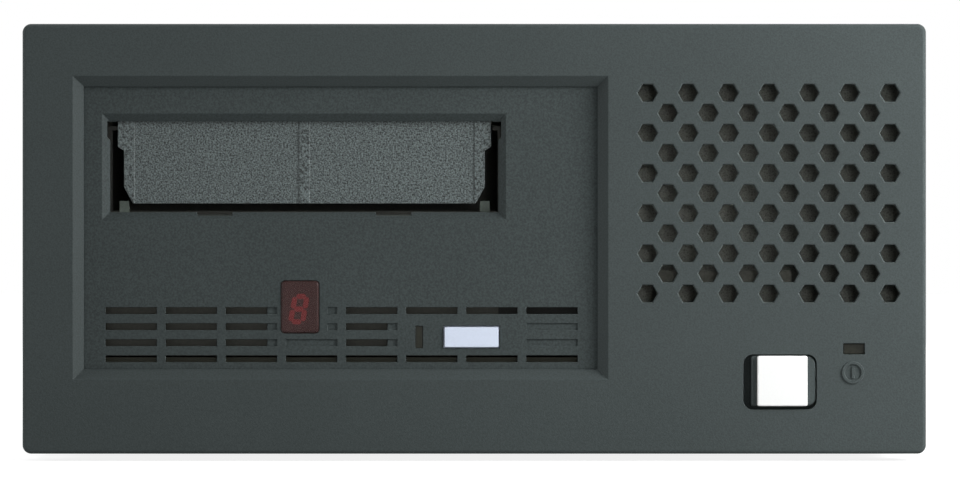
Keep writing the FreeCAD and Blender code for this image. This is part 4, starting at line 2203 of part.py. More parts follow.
def head():
    """The head on its carriage, which two posts guide and a coil in a magnet cup moves."""
    x, y = drive_x - s.head_left, pivot[1]
    cup, pole, post = s.cup_radius, s.post_radius * 2, s.post_radius
    half_x, half_y = s.small_motor, s.head_half
    base_top = deck + s.drive_wall
    cup_top = base_top + s.cup_tall
    post_y = half_y - post * 2
    top = path_high + s.flange
    floor = base_top + s.drive_wall
    solid = fuse(
        block((x - half_x, y - half_y, deck), (x + half_x, y + half_y, base_top)),
        rod("Z", (x, y, base_top), cup, cup_top - base_top),
        *[rod("Z", (x, y + side * post_y, base_top), post, top - base_top) for side in (-1, 1)],
    )
    groove = cut(
        rod("Z", (x, y, floor), cup - post, cup_top),
        rod("Z", (x, y, floor - post), pole, cup_top + post * 2),
    )
    node("head_base", cut(solid, groove))

    coil_low, body_low = floor + s.head_travel * 1.5, cup_top + s.head_travel * 1.5
    body_top = body_low + s.small_motor
    bobbin = cut(
        rod("Z", (x, y, coil_low), cup - post - s.slip * 2, body_low - coil_low + s.flange),
        rod("Z", (x, y, coil_low - post), pole + s.slip * 2, body_low - coil_low + post),
    )
    front_x = x - half_x
    chip = pivot[0] - s.post_ring * math.cos(math.radians(ROLLER_SWINGS[2])) - s.roller_radius
    body = fuse(
        block(
            (front_x + s.flange, y - half_y + s.flange, body_low),
            (x + half_x - s.flange, y + half_y - s.flange, body_top),
        ),
        bobbin,
        block((chip, y - s.neck_half, body_low), (front_x + post, y + s.neck_half, body_top)),
        block(
            (chip, y - s.neck_half, body_low),
            (chip + s.neck_half, y + s.neck_half, path_high - s.flange),
        ),
    )
    bores = [
        rod("Z", (x, y + side * post_y, body_low - post), post + s.pin_clear, s.small_motor + post * 2)
        for side in (-1, 1)
    ]
    node("head_carriage", cut(body, *bores))


def threader():
    """The arm that carries the tape's leader round the rollers to the reel, and its motor."""
    x, y = pivot
    turn = math.radians(THREADER_MOTOR_AT)
    wide = s.arm_wide / 2
    span = s.train_module * (PINION_TEETH + WHEEL_TEETH) / 2
    motor_x, motor_at_y = x + span * math.cos(turn), y + span * math.sin(turn)
    wheel = gear(
        "Z", (0.0, 0.0, 0.0), WHEEL_TEETH, s.train_module, turn - math.radians(ARM_START)
    )
    arm = cut(
        fuse(
            wheel,
            block((0.0, -wide, 0.0), (s.arm_reach, wide, s.gear_wide)),
            rod("Z", (s.arm_reach, 0.0, 0.0), wide, s.gear_wide),
            rod(
                "Z", (s.arm_reach, 0.0, path_low - arm_z), s.post_radius,
                arm_z - path_low + s.gear_wide,
            ),
        ),
        rod("Z", (0.0, 0.0, -s.flange), s.pivot_radius + s.pin_clear, s.gear_wide + s.flange * 2),
    )
    parked = FreeCAD.Rotation(FreeCAD.Vector(0, 0, 1), ARM_START)
    node("threader_arm", place(arm, (x, y, arm_z), parked))

    motor_top = arm_z - s.drive_wall
    node("threader_motor", cut(
        rod("Z", (motor_x, motor_at_y, deck), s.small_motor, motor_top - deck),
        rod(
            "Z", (motor_x, motor_at_y, motor_top - s.small_motor),
            s.post_radius + s.pin_clear, s.small_motor * 2,
        ),
    ))
    small = gear(
        "Z", (motor_x, motor_at_y, arm_z), PINION_TEETH, s.train_module, turn + math.pi, gap=False
    )
    axle_low = motor_top - s.small_motor + s.slip
    node("threader_pinion", fuse(
        small, rod("Z", (motor_x, motor_at_y, axle_low), s.post_radius, arm_z - axle_low + s.gear_wide)
    ))


# ---------------------------------------------------------------------------------------------
# Build, check and write
# ---------------------------------------------------------------------------------------------
def check():
    """Stops with the names of anything that failed to compute."""
    doc.recompute()
    failed = [o.Label for o in doc.Objects if {"Invalid", "Error"} & set(o.State)]
    failed += [n.Label for n in nodes if n.Shape.isNull() or not n.Shape.isValid()]
    if failed:
        raise RuntimeError("not computed: " + ", ".join(failed))


def write():
    """Writes each sub-part to its own file."""
    os.makedirs("parts", exist_ok=True)
    for made in nodes:
        made.Shape.exportStep(f"parts/{made.Label}.step")


for build in (
    front_bezel, power_button, base_tray, top_cover, rubber_feet, case_screws,
    power_supply, fan, mains_inlet, data_connectors, selector, internal_leads, data_cable,
    drive_frame, drive_lids, logic_board, drive_brackets, drive_bezel, slot_door, face_fittings,
    lift_frame, cartridge_tray, cam_plates, loader_drive, reels, guide_rollers, head, threader,
):
    build()
check()
write()
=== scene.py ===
"""Data tape drive: finishes, fine pieces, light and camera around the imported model.

Everything is in metres in the model's own frame: X to the right seen from the front, Y towards the
back, Z up, with the origin on the floor under the middle of the object.
"""
import logging
import math
from collections.abc import Callable
from dataclasses import dataclass, field
from enum import Enum

import bmesh
import bpy
from mathutils import Matrix, Vector


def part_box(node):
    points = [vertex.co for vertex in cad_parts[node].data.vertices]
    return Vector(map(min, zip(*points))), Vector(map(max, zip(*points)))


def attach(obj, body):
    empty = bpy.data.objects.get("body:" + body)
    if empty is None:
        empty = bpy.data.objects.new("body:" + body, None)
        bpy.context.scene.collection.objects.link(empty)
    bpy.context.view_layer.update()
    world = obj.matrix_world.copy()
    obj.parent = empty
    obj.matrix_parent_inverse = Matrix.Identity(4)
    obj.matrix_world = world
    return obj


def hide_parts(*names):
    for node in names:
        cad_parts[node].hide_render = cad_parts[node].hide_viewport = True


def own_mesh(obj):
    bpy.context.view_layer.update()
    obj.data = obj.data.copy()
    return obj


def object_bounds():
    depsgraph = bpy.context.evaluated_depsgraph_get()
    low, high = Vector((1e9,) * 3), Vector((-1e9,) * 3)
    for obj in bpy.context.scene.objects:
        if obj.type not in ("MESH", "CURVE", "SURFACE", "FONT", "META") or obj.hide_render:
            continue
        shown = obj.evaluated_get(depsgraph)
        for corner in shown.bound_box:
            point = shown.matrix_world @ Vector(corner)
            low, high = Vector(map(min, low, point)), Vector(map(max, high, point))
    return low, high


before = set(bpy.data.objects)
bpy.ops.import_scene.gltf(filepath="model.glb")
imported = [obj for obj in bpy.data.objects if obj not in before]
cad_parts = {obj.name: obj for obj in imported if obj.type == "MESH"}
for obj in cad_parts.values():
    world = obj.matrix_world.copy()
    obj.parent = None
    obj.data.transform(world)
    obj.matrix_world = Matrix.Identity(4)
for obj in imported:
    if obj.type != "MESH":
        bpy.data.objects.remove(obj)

LOG = logging.getLogger("tape_drive")
MM = 0.001
CAD_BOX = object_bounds()

# How fine the noise behind every grain is, and the span of values that most of it falls in.
NOISE_DETAIL = 2.0
NOISE_ROUGHNESS = 0.6
NOISE_LOW = 0.34
NOISE_HIGH = 0.66

# Points of a CAD node closer than this are one point, in metres.
WELD_GAP = 0.002 * MM
# Angles between faces: flatter than this is one face, below this is smooth, above this is an edge.
FLAT_BELOW = math.radians(0.5)
SMOOTH_BELOW = math.radians(32)
SHARP_ABOVE = math.radians(40)
# What lies past this share of a length counts as being at its end.
NEAR_END = 0.9


# ---------------------------------------------------------------------------------------------
# Colour and material helpers
# ---------------------------------------------------------------------------------------------
def linear(hex_colour: str) -> tuple[float, float, float, float]:
    """Turns an sRGB hex colour into the linear colour that a shader takes.

    Args:
        hex_colour: Six hex digits after a hash sign.

    Returns:
        Linear red, green and blue, and an alpha of 1.
    """
    def channel(value: float) -> float:
        """Undoes the sRGB curve for one channel."""
        return value / 12.92 if value <= 0.04045 else ((value + 0.055) / 1.055) ** 2.4

    red, green, blue = (channel(int(hex_colour[i:i + 2], 16) / 255) for i in (1, 3, 5))
    return red, green, blue, 1.0


def add_node(
    tree: bpy.types.NodeTree,
    kind: str,
    settings: dict[str, object] | None = None,
    links: dict[str, bpy.types.NodeSocket] | None = None,
) -> bpy.types.Node:
    """Adds a node with its settings and links.

    Args:
        tree: The node tree.
        kind: The node's type.
        settings: Values by input name, or by property name where no input has it.
        links: Sockets to link, by input name.

    Returns:
        The new node.
    """
    made = tree.nodes.new(kind)
    for name, value in (settings or {}).items():
        if name in made.inputs:
            made.inputs[name].default_value = value
        else:
            setattr(made, name, value)
    for name, socket in (links or {}).items():
        tree.links.new(socket, made.inputs[name])
    return made


def per_metre(size_mm: float) -> float:
    """A texture's scale for features of a size in millimetres."""
    return 1 / (size_mm * MM)


@dataclass(frozen=True)
class Finish:
    """A surface: what it is made of, how it was made, and what that gives the eye."""

    name: str
    colour: str
    roughness: float
    metallic: float = 0.0
    gloss: float = 0.5
    ior: float = 1.5
    grain_mm: float = 1.0
    grain_depth: float = 0.0
    mottle: float = 0.04
    cloud_mm: float = 0.0
    cloud: float = 0.0
    streak: tuple[float, float, float] = (1.0, 1.0, 1.0)

    def material(self) -> bpy.types.Material:
        """Makes the material, or gives the one already made."""
        known = bpy.data.materials.get(self.name)
        if known:
            return known
        made = bpy.data.materials.new(self.name)
        made.use_nodes = True
        tree = made.node_tree
        tree.nodes.clear()
        shader = add_node(tree, "ShaderNodeBsdfPrincipled", {
            "Base Color": linear(self.colour), "Roughness": self.roughness,
            "Metallic": self.metallic, "IOR": self.ior, "Specular IOR Level": self.gloss,
        })
        place = add_node(tree, "ShaderNodeTexCoord").outputs["Object"]
        grain = self.noise(tree, place, self.grain_mm)
        colour = self.shade(tree, self.base(tree, place), grain, self.mottle)
        if self.cloud:
            colour = self.shade(tree, colour, self.noise(tree, place, self.cloud_mm), self.cloud)
        tree.links.new(colour, shader.inputs["Base Color"])
        if self.grain_depth:
            relief = add_node(
                tree, "ShaderNodeBump", {"Strength": 1.0, "Distance": self.grain_depth * MM},
                {"Height": grain},
            )
            tree.links.new(relief.outputs["Normal"], shader.inputs["Normal"])
        self.extend(tree, shader)
        add_node(tree, "ShaderNodeOutputMaterial", links={"Surface": shader.outputs["BSDF"]})
        return made

    def noise(
        self, tree: bpy.types.NodeTree, place: bpy.types.NodeSocket, size_mm: float
    ) -> bpy.types.NodeSocket:
        """Noise of a size, drawn out along the streak.

        Args:
            tree: The material's tree.
            place: The object's own coordinates.
            size_mm: Size of the noise in millimetres.

        Returns:
            The noise's value.
        """
        stretch = add_node(tree, "ShaderNodeMapping", {"Scale": self.streak}, {"Vector": place})
        noise = add_node(
            tree, "ShaderNodeTexNoise",
            {"Scale": per_metre(size_mm), "Detail": NOISE_DETAIL, "Roughness": NOISE_ROUGHNESS},
            {"Vector": stretch.outputs["Vector"]},
        )
        return noise.outputs[0]

    def shade(
        self, tree: bpy.types.NodeTree, colour: bpy.types.NodeSocket,
        noise: bpy.types.NodeSocket, depth: float,
    ) -> bpy.types.NodeSocket:
        """Makes a colour lighter and darker with a noise.

        Args:
            tree: The material's tree.
            colour: The colour before.
            noise: The noise's value, about one half on average.
            depth: How far it goes each way, as a share of the colour.

        Returns:
            The colour after.
        """
        level = add_node(tree, "ShaderNodeMapRange", {
            "From Min": NOISE_LOW, "From Max": NOISE_HIGH, "To Min": 1 - depth, "To Max": 1 + depth,
        }, {"Value": noise})
        scaled = add_node(tree, "ShaderNodeVectorMath", {"operation": "SCALE"})
        tree.links.new(colour, scaled.inputs["Vector"])
        tree.links.new(level.outputs["Result"], scaled.inputs["Scale"])
        return scaled.outputs["Vector"]

    def base(
        self, tree: bpy.types.NodeTree, place: bpy.types.NodeSocket
    ) -> bpy.types.NodeSocket:
        """The colour before any grain."""
        made = add_node(tree, "ShaderNodeRGB")
        made.outputs[0].default_value = linear(self.colour)
        return made.outputs[0]

    def extend(self, tree: bpy.types.NodeTree, shader: bpy.types.Node) -> None:
        """Adds nothing more to a plain finish."""


@dataclass(frozen=True)
class ClearFinish(Finish):
    """A smoked plastic that shows what is behind it."""

    through: float = 0.5

    def extend(self, tree: bpy.types.NodeTree, shader: bpy.types.Node) -> None:
        """Lets light through."""
        shader.inputs["Alpha"].default_value = 1 - self.through


@dataclass(frozen=True)
class LitFinish(Finish):
    """A part that glows by itself."""

    glow: str = "#ffffff"
    strength: float = 1.0

    def extend(self, tree: bpy.types.NodeTree, shader: bpy.types.Node) -> None:
        """Adds the glow."""
        shader.inputs["Emission Color"].default_value = linear(self.glow)
        shader.inputs["Emission Strength"].default_value = self.strength


@dataclass(frozen=True)
class FoamFinish(Finish):
    """Open-cell foam: pale struts, with painted shade darker towards the middle of each cell."""

    cell_mm: float = 1.1
    # Painted shade in the cells: full colour out to strut from a cell's edge, down to the shade
    # level by the reach.
    strut: float = 0.05
    cell_shade_reach: float = 0.3
    cell_shade_level: float = 0.7

    def base(
        self, tree: bpy.types.NodeTree, place: bpy.types.NodeSocket
    ) -> bpy.types.NodeSocket:
        """The struts' colour, with painted shade darker towards the middle of each cell."""
        cells = add_node(
            tree, "ShaderNodeTexVoronoi",
            {"feature": "DISTANCE_TO_EDGE", "Scale": per_metre(self.cell_mm)}, {"Vector": place},
        )
        level = add_node(tree, "ShaderNodeMapRange", {
            "From Min": self.strut, "From Max": self.cell_shade_reach,
            "To Min": 1.0, "To Max": self.cell_shade_level,
        }, {"Value": cells.outputs["Distance"]})
        plain = super().base(tree, place)
        scaled = add_node(tree, "ShaderNodeVectorMath", {"operation": "SCALE"})
        tree.links.new(plain, scaled.inputs["Vector"])
        tree.links.new(level.outputs["Result"], scaled.inputs["Scale"])
        return scaled.outputs["Vector"]


@dataclass(frozen=True)
class BandedFinish(Finish):
    """Two colours along one axis: below and above a place, or in even stripes."""

    second: str = "#202020"
    axis: int = 2
    start: float = 0.0
    stripe_mm: float = 0.0

    def base(
        self, tree: bpy.types.NodeTree, place: bpy.types.NodeSocket
    ) -> bpy.types.NodeSocket:
        """Chooses the colour by place along the axis."""
        parts = add_node(tree, "ShaderNodeSeparateXYZ", links={"Vector": place})
        along = parts.outputs[self.axis]
        if self.stripe_mm:
            wave = add_node(tree, "ShaderNodeMath", {"operation": "PINGPONG"})
            tree.links.new(along, wave.inputs[0])
            wave.inputs[1].default_value = self.stripe_mm * MM
            along = wave.outputs[0]
        above = add_node(tree, "ShaderNodeMath", {"operation": "GREATER_THAN"})
        tree.links.new(along, above.inputs[0])
        above.inputs[1].default_value = self.start
        blend = add_node(tree, "ShaderNodeMix", {"data_type": "RGBA"})
        tree.links.new(above.outputs[0], blend.inputs[0])
        blend.inputs[6].default_value = linear(self.colour)
        blend.inputs[7].default_value = linear(self.second)
        return blend.outputs[2]


# Moulded ABS with a fine spark-eroded texture: dark green-grey, a dull sheen, grain just visible.
# Real texture is about 0.1 mm; it is drawn at 0.45 mm so that it shows.
FRONT_ABS = Finish(
    "abs_spark_texture_front", "#424949", 0.6, gloss=0.12, grain_mm=0.45, grain_depth=0.03,
    mottle=0.12, cloud_mm=40.0, cloud=0.03,
)
# The drive's own face: a slightly darker grey with the same texture, drawn at 0.55 mm.
DRIVE_ABS = Finish(
    "abs_spark_texture_drive", "#3f4646", 0.6, gloss=0.12, grain_mm=0.55, grain_depth=0.04,
    mottle=0.2, cloud_mm=30.0, cloud=0.03,
)
# The slot's door: a coarse moulded grain, light and dark specks drawn near its real 0.5 mm.
DOOR_ABS = Finish(
    "abs_coarse_grain_door", "#515959", 0.4, gloss=0.35, grain_mm=0.45, grain_depth=0.14,
    mottle=0.9,
)
# Keys: a smooth satin ABS, pale lavender on the drive and white on the case.
LAVENDER_ABS = Finish(
    "abs_satin_lavender", "#dde7f9", 0.38, grain_mm=0.6, grain_depth=0.006, mottle=0.015,
)
WHITE_ABS = Finish(
    "abs_satin_white", "#f2f3f2", 0.36, grain_mm=0.6, grain_depth=0.006, mottle=0.01,
)
# The cartridge tray: moulded ABS in a dull dark grey.
TRAY_ABS = Finish(
    "abs_grey_moulded", "#545551", 0.5, gloss=0.3, grain_mm=0.8, grain_depth=0.02, mottle=0.1,
)
# Glass-filled nylon, moulded: nearly black, with a low sheen and faint specks of fibre.
BLACK_NYLON = Finish(
    "nylon_glass_filled_black", "#191a1a", 0.42, grain_mm=1.2, grain_depth=0.02, mottle=0.12,
)
# Acetal in its own colour, moulded: creamy white and slightly waxy.
NATURAL_ACETAL = Finish("acetal_natural", "#e4e2d8", 0.38, ior=1.48, grain_mm=1.4, mottle=0.03)
# The lamps' lenses: smoked so dark that they read as solid green-black.
LAMP_LENS = Finish(
    "polycarbonate_smoked_lamp", "#21221c", 0.35, gloss=0.2, grain_mm=0.9, mottle=0.3,
)
# The display's lens: dark red acrylic that lets the digit show through.
DISPLAY_LENS = ClearFinish(
    "acrylic_smoked_red", "#4d3533", 0.3, gloss=0.3, ior=1.49, grain_mm=3.0, mottle=0.02,
    through=0.5,
)
# The display's potting: dark reddish epoxy, cast and dull.
DISPLAY_BODY = Finish("display_module_dark_epoxy", "#3a2d30", 0.5, grain_mm=0.8, mottle=0.08)
# The digit's segments: red epoxy, lit from within.
LIT_SEGMENT = LitFinish(
    "led_segment_red_epoxy", "#65272c", 0.4, glow="#ff3a44", strength=0.3,
)
# Open-cell polyether foam in a mid grey: matt, with cells about 0.7 mm wide.
FILTER_FOAM = FoamFinish(
    "foam_open_cell_grey", "#acafa6", 0.95, gloss=0.05, grain_mm=0.6, mottle=0.2,
    cell_mm=0.7,
)
# Steel cover and tray: powder coat with a fine orange-peel texture, drawn at 0.9 mm.
POWDER_COAT = Finish(
    "steel_powder_coat_charcoal", "#4e5555", 0.5, gloss=0.35, grain_mm=0.9, grain_depth=0.05,
    mottle=0.08,
)
# Zinc-plated sheet: bright grey with a faint spangle a few millimetres wide.
ZINC_SHEET = Finish("steel_zinc_plated", "#b9bbb8", 0.34, 1.0, grain_mm=5.0, mottle=0.1)
# Phosphated steel for bracket, lift frame and cam plates: a dull, slightly blotchy grey.
PHOSPHATED = Finish("steel_phosphated", "#8c8d84", 0.7, gloss=0.2, grain_mm=1.4, mottle=0.16)
# Nickel-plated steel for screws and motor cans: bright, with a soft sheen.
STEEL_PLATED = Finish("steel_nickel_plated", "#a9abab", 0.28, 1.0, grain_mm=1.5, mottle=0.05)
# Turned or drawn steel: bright, with fine lines that run one way.
STEEL_TURNED = Finish(
    "steel_turned_bright", "#b8b9ba", 0.22, 1.0, grain_mm=0.5, mottle=0.04, streak=(1, 1, 0.05),
)
# The fan guard's wire, chromed: close to a mirror.
CHROMED_WIRE = Finish("steel_wire_chromed", "#c9cbcc", 0.14, 1.0, grain_mm=2.0, mottle=0.03)
# The drive's casting, near black as painted shade for the inside; the head's pieces are bare.
CAST_BLACK_SHADE = Finish(
    "aluminium_die_cast_black_painted_shade", "#2c2d2b", 0.5, gloss=0.3, grain_mm=0.9, grain_depth=0.03,
    mottle=0.12,
)
# Bare die-cast aluminium: grey, with a fine sandy skin.
CAST_ALUMINIUM = Finish(
    "aluminium_die_cast", "#a3a5a4", 0.48, 1.0, grain_mm=0.9, grain_depth=0.03, mottle=0.08,
)
# Aluminium sheet as rolled: grey, with faint lines along the roll.
SHEET_ALUMINIUM = Finish(
    "aluminium_mill_finish", "#b6b8b9", 0.36, 1.0, grain_mm=0.7, mottle=0.06, streak=(1, 0.04, 1),
)
# Tin-plated brass for the inlet's pins: a pale warm grey.
TINNED_BRASS = Finish("brass_tin_plated", "#b8b39c", 0.3, 1.0, grain_mm=0.8, mottle=0.05)
# Brass pinions, hobbed: yellow and bright on the cut faces.
CUT_BRASS = Finish("brass_hobbed", "#c8a85e", 0.3, 1.0, grain_mm=0.4, mottle=0.06)
# Gold flash on the contact strips: yellow, with a satin shine.
GOLD_CONTACT = Finish("contact_gold_flash", "#c9a24a", 0.25, 1.0, grain_mm=0.5, mottle=0.05)
# Moulded rubber feet: matt black with a slight bloom.
RUBBER = Finish("rubber_moulded_black", "#161616", 0.75, ior=1.52, grain_mm=0.9, mottle=0.1)
# Printed ink on the dial and the keys: flat black.
DIAL_PRINT = Finish("printed_ink_black", "#101010", 0.5, grain_mm=0.3, mottle=0.15)


# ---------------------------------------------------------------------------------------------
# Modelling helpers
# ---------------------------------------------------------------------------------------------
class Softness(Enum):
    """How wide the broken edges of a moulded or formed piece are, in millimetres.

    A crisp edge keeps its full width; the others narrow where edges are close together.
    """

    MOULDED = 0.25
    SMALL = 0.12
    CRISP = 0.14


def clear_selection() -> None:
    """Leaves object mode with nothing selected."""
    if bpy.context.object and bpy.context.object.mode != "OBJECT":
        bpy.ops.object.mode_set(mode="OBJECT")
    bpy.ops.object.select_all(action="DESELECT")


def take(*objects: bpy.types.Object) -> bpy.types.Object:
    """Selects only these objects and makes the first one active."""
    clear_selection()
    for obj in objects:
        obj.select_set(True)
    bpy.context.view_layer.objects.active = objects[0]
    return objects[0]


def fix_place() -> None:
    """Moves the active object's place, turn and scale into its mesh."""
    bpy.ops.object.transform_apply(location=True, rotation=True, scale=True)


def block(low: tuple[float, float, float], high: tuple[float, float, float]) -> bpy.types.Object:
    """Adds a cube stretched between two corners, in metres."""
    clear_selection()
    middle = [(a + b) / 2 for a, b in zip(low, high)]
    bpy.ops.mesh.primitive_cube_add(size=1, location=middle)
    made = bpy.context.object
    made.scale = [b - a for a, b in zip(low, high)]
    fix_place()
    return made


def rod(middle: Vector, radius: float, depth: float, sides: int) -> bpy.types.Object:
    """Adds an upright cylinder round a middle point, in metres."""
    clear_selection()
    bpy.ops.mesh.primitive_cylinder_add(vertices=sides, radius=radius, depth=depth, location=middle)
    made = bpy.context.object
    fix_place()
    return made


def bevel_edges(
    obj: bpy.types.Object, width: float, segments: int,
    test: Callable[[bmesh.types.BMEdge], bool],
) -> None:
    """Bevels the edges that pass a test, in edit mode.

    Args:
        obj: The mesh object.
        width: Bevel width in metres.
        segments: How many strips.
        test: Says whether an edge is bevelled.
    """
    take(obj)
    bpy.ops.object.mode_set(mode="EDIT")
    bpy.ops.mesh.select_mode(type="EDGE")
    bpy.ops.mesh.select_all(action="DESELECT")
    mesh = bmesh.from_edit_mesh(obj.data)
    for edge in mesh.edges:
        edge.select_set(test(edge))
    bmesh.update_edit_mesh(obj.data)
    bpy.ops.mesh.bevel(offset=width, segments=segments, profile=0.5, affect="EDGES")
    bpy.ops.object.mode_set(mode="OBJECT")


def apply_modifier(obj: bpy.types.Object, kind: str, settings: dict[str, object]) -> None:
    """Adds a modifier with its settings and applies it."""
    take(obj)
    added = obj.modifiers.new(kind.lower(), kind)
    for name, value in settings.items():
        setattr(added, name, value)
    bpy.ops.object.modifier_apply(modifier=added.name)


def carve(obj: bpy.types.Object, cutter: bpy.types.Object) -> None:
    """Cuts one object out of another and removes the cutter."""
    apply_modifier(obj, "BOOLEAN", {"object": cutter, "operation": "DIFFERENCE", "solver": "EXACT"})
    bpy.data.objects.remove(cutter)


def join(objects: list[bpy.types.Object]) -> bpy.types.Object:
    """Joins objects into the first one."""
    take(*objects)
    if len(objects) > 1:
        bpy.ops.object.join()
    return bpy.context.object


def copy_to(
    pattern: bpy.types.Object, place: Vector, turn: tuple[float, float, float] = (0.0, 0.0, 0.0)
) -> bpy.types.Object:
    """Copies a pattern piece with its own mesh to a place, turned by angles in radians."""
    made = pattern.copy()
    made.data = pattern.data.copy()
    bpy.context.scene.collection.objects.link(made)
    take(made)
    made.location = place
    made.rotation_euler = turn
    fix_place()
    return made


def finish_piece(obj: bpy.types.Object, name: str, body: str, finish: Finish) -> bpy.types.Object:
    """Names a piece, shades and dresses it, and lets it ride on its body.

    Args:
        obj: The finished mesh, with its place in its mesh.
        name: The piece's name.
        body: The body it moves with.
        finish: Its finish.

    Returns:
        The same object.
    """
    take(obj)
    obj.name = name
    obj.data.name = name
    obj.data.materials.clear()
    obj.data.materials.append(finish.material())
    bpy.ops.object.shade_smooth_by_angle(angle=SMOOTH_BELOW)
    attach(obj, body)
    LOG.info("piece %s on %s", name, body)
    return obj


def islands(node: str) -> list[tuple[Vector, Vector]]:
    """The separate solids in a CAD node.

    Args:
        node: The node's name.

    Returns:
        Lowest and highest corner of each solid.
    """
    mesh = bmesh.new()
    mesh.from_mesh(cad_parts[node].data)
    bmesh.ops.remove_doubles(mesh, verts=mesh.verts, dist=WELD_GAP)
    seen: set[int] = set()
    found = []
    for first in mesh.verts:
        if first.index in seen:
            continue
        stack, group = [first], []
        seen.add(first.index)
        while stack:
            vertex = stack.pop()
            group.append(vertex.co.copy())
            for edge in vertex.link_edges:
                other = edge.other_vert(vertex)
                if other.index not in seen:
                    seen.add(other.index)
                    stack.append(other)
        low = Vector([min(p[i] for p in group) for i in range(3)])
        high = Vector([max(p[i] for p in group) for i in range(3)])
        found.append((low, high))
    mesh.free()
    return found


def dress(nodes: list[str], finish: Finish, soft: Softness | None = None) -> None:
    """Gives CAD nodes a finish and, where asked, breaks their sharp edges.

    Args:
        nodes: The nodes' names.
        finish: Their finish.
        soft: How wide the broken edges are.
    """
    for name in nodes:
        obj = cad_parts[name]
        for place in obj.material_slots:
            place.material = finish.material()
        if not obj.material_slots:
            obj.data.materials.append(finish.material())
        if soft:
            weld = obj.modifiers.new("weld", "WELD")
            weld.merge_threshold = WELD_GAP
            flat = obj.modifiers.new("flat_faces", "DECIMATE")
            flat.decimate_type = "DISSOLVE"
            flat.angle_limit = FLAT_BELOW
            edge = obj.modifiers.new("broken_edges", "BEVEL")
            edge.width = soft.value * MM
            edge.segments = 2
            edge.limit_method = "ANGLE"
            edge.angle_limit = SHARP_ABOVE
            edge.use_clamp_overlap = soft is not Softness.CRISP
        LOG.info("dressed %s with %s", name, finish.name)


# ---------------------------------------------------------------------------------------------
# Sub-assemblies
# ---------------------------------------------------------------------------------------------
@dataclass
class PlasticFront:
    """The plastic front with its window, vents and button bay."""

    def dress(self) -> None:
        """Gives the front its textured plastic."""
        dress(["front_bezel"], FRONT_ABS, Softness.CRISP)


@dataclass
class PowerControls:
    """Power button, its carrier, spring and switch, and the lamp beside it."""

    travel: float = 2.5 * MM
    board_thick: float = 1.65 * MM

    def dress(self) -> None:
        """Gives the button and what is behind it their finishes."""
        dress(["power_button"], WHITE_ABS, Softness.MOULDED)
        dress(["power_button_carrier"], FRONT_ABS, Softness.SMALL)
        dress(["power_lamp_lens"], LAMP_LENS, Softness.SMALL)
        dress(["power_bracket"], PHOSPHATED)
        dress(["air_filter"], FILTER_FOAM)
        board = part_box("power_switch_board")
        dress(["power_switch_board"], BandedFinish(
            "circuit_board_green_switch", "#1c1c1c", 0.45, mottle=0.15, second="#1f5b3a", axis=1,
            start=board[1][1] - self.board_thick,
        ))

    def return_coil(self) -> None:
        """The return spring, copied from its CAD node into a piece with a mesh of its own."""
        node = "power_button_spring"
        made = bpy.data.objects.new(node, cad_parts[node].data.copy())
        bpy.context.scene.collection.objects.link(made)
        finish_piece(made, "power_button_return_coil", "case", STEEL_TURNED)
        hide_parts(node)
        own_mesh(made)


@dataclass
class SevenSegment:
    """The single digit behind the display window."""

    height: float = 7.0 * MM
    width: float = 3.3 * MM
    bar: float = 1.4 * MM
    aside: float = -0.4 * MM
    above: float = -0.6 * MM
    thick: float = 0.12 * MM
    slant: float = 10.0
    point: float = 0.3
    flat_gap: float = 0.55
    upright_gap: float = 0.25

    def segment(self, length: float) -> bpy.types.Object:
        """One lying segment with pointed ends, round the origin."""
        half = length / 2
        made = block(
            (-half, -self.thick / 2, -self.bar / 2), (half, self.thick / 2, self.bar / 2)
        )

        def at_corner(edge: bmesh.types.BMEdge) -> bool:
            """Whether an edge runs front to back at a corner."""
            first, second = (vertex.co for vertex in edge.verts)
            return abs(first.y - second.y) > self.thick * NEAR_END

        bevel_edges(made, self.bar * self.point, 1, at_corner)
        return made

    def build(self) -> None:
        """Sets seven slanted segments between the lens and the module."""
        lens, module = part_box("display_window"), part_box("display_module")
        middle = [(a + b) / 2 + c for a, b, c in zip(*lens, (self.aside, 0.0, self.above))]
        depth = (lens[1][1] + module[0][1]) / 2
        lean = math.tan(math.radians(self.slant))
        flat = self.segment(self.width - self.bar * self.flat_gap)
        upright = self.segment(self.height / 2 - self.bar * self.upright_gap)
        quarter = self.height / 4
        pieces = []
        for step in (-2, 0, 2):
            z = quarter * step
            pieces.append(copy_to(flat, Vector((middle[0] + z * lean, depth, middle[2] + z))))
        for step in (-1, 1):
            z = quarter * step
            for side in (-1, 1):
                x = middle[0] + z * lean + side * self.width / 2
                pieces.append(copy_to(
                    upright, Vector((x, depth, middle[2] + z)),
                    (0.0, math.radians(self.slant - 90), 0.0),
                ))
        for pattern in (flat, upright):
            bpy.data.objects.remove(pattern)
        digit = finish_piece(join(pieces), "display_digit", "case", LIT_SEGMENT)


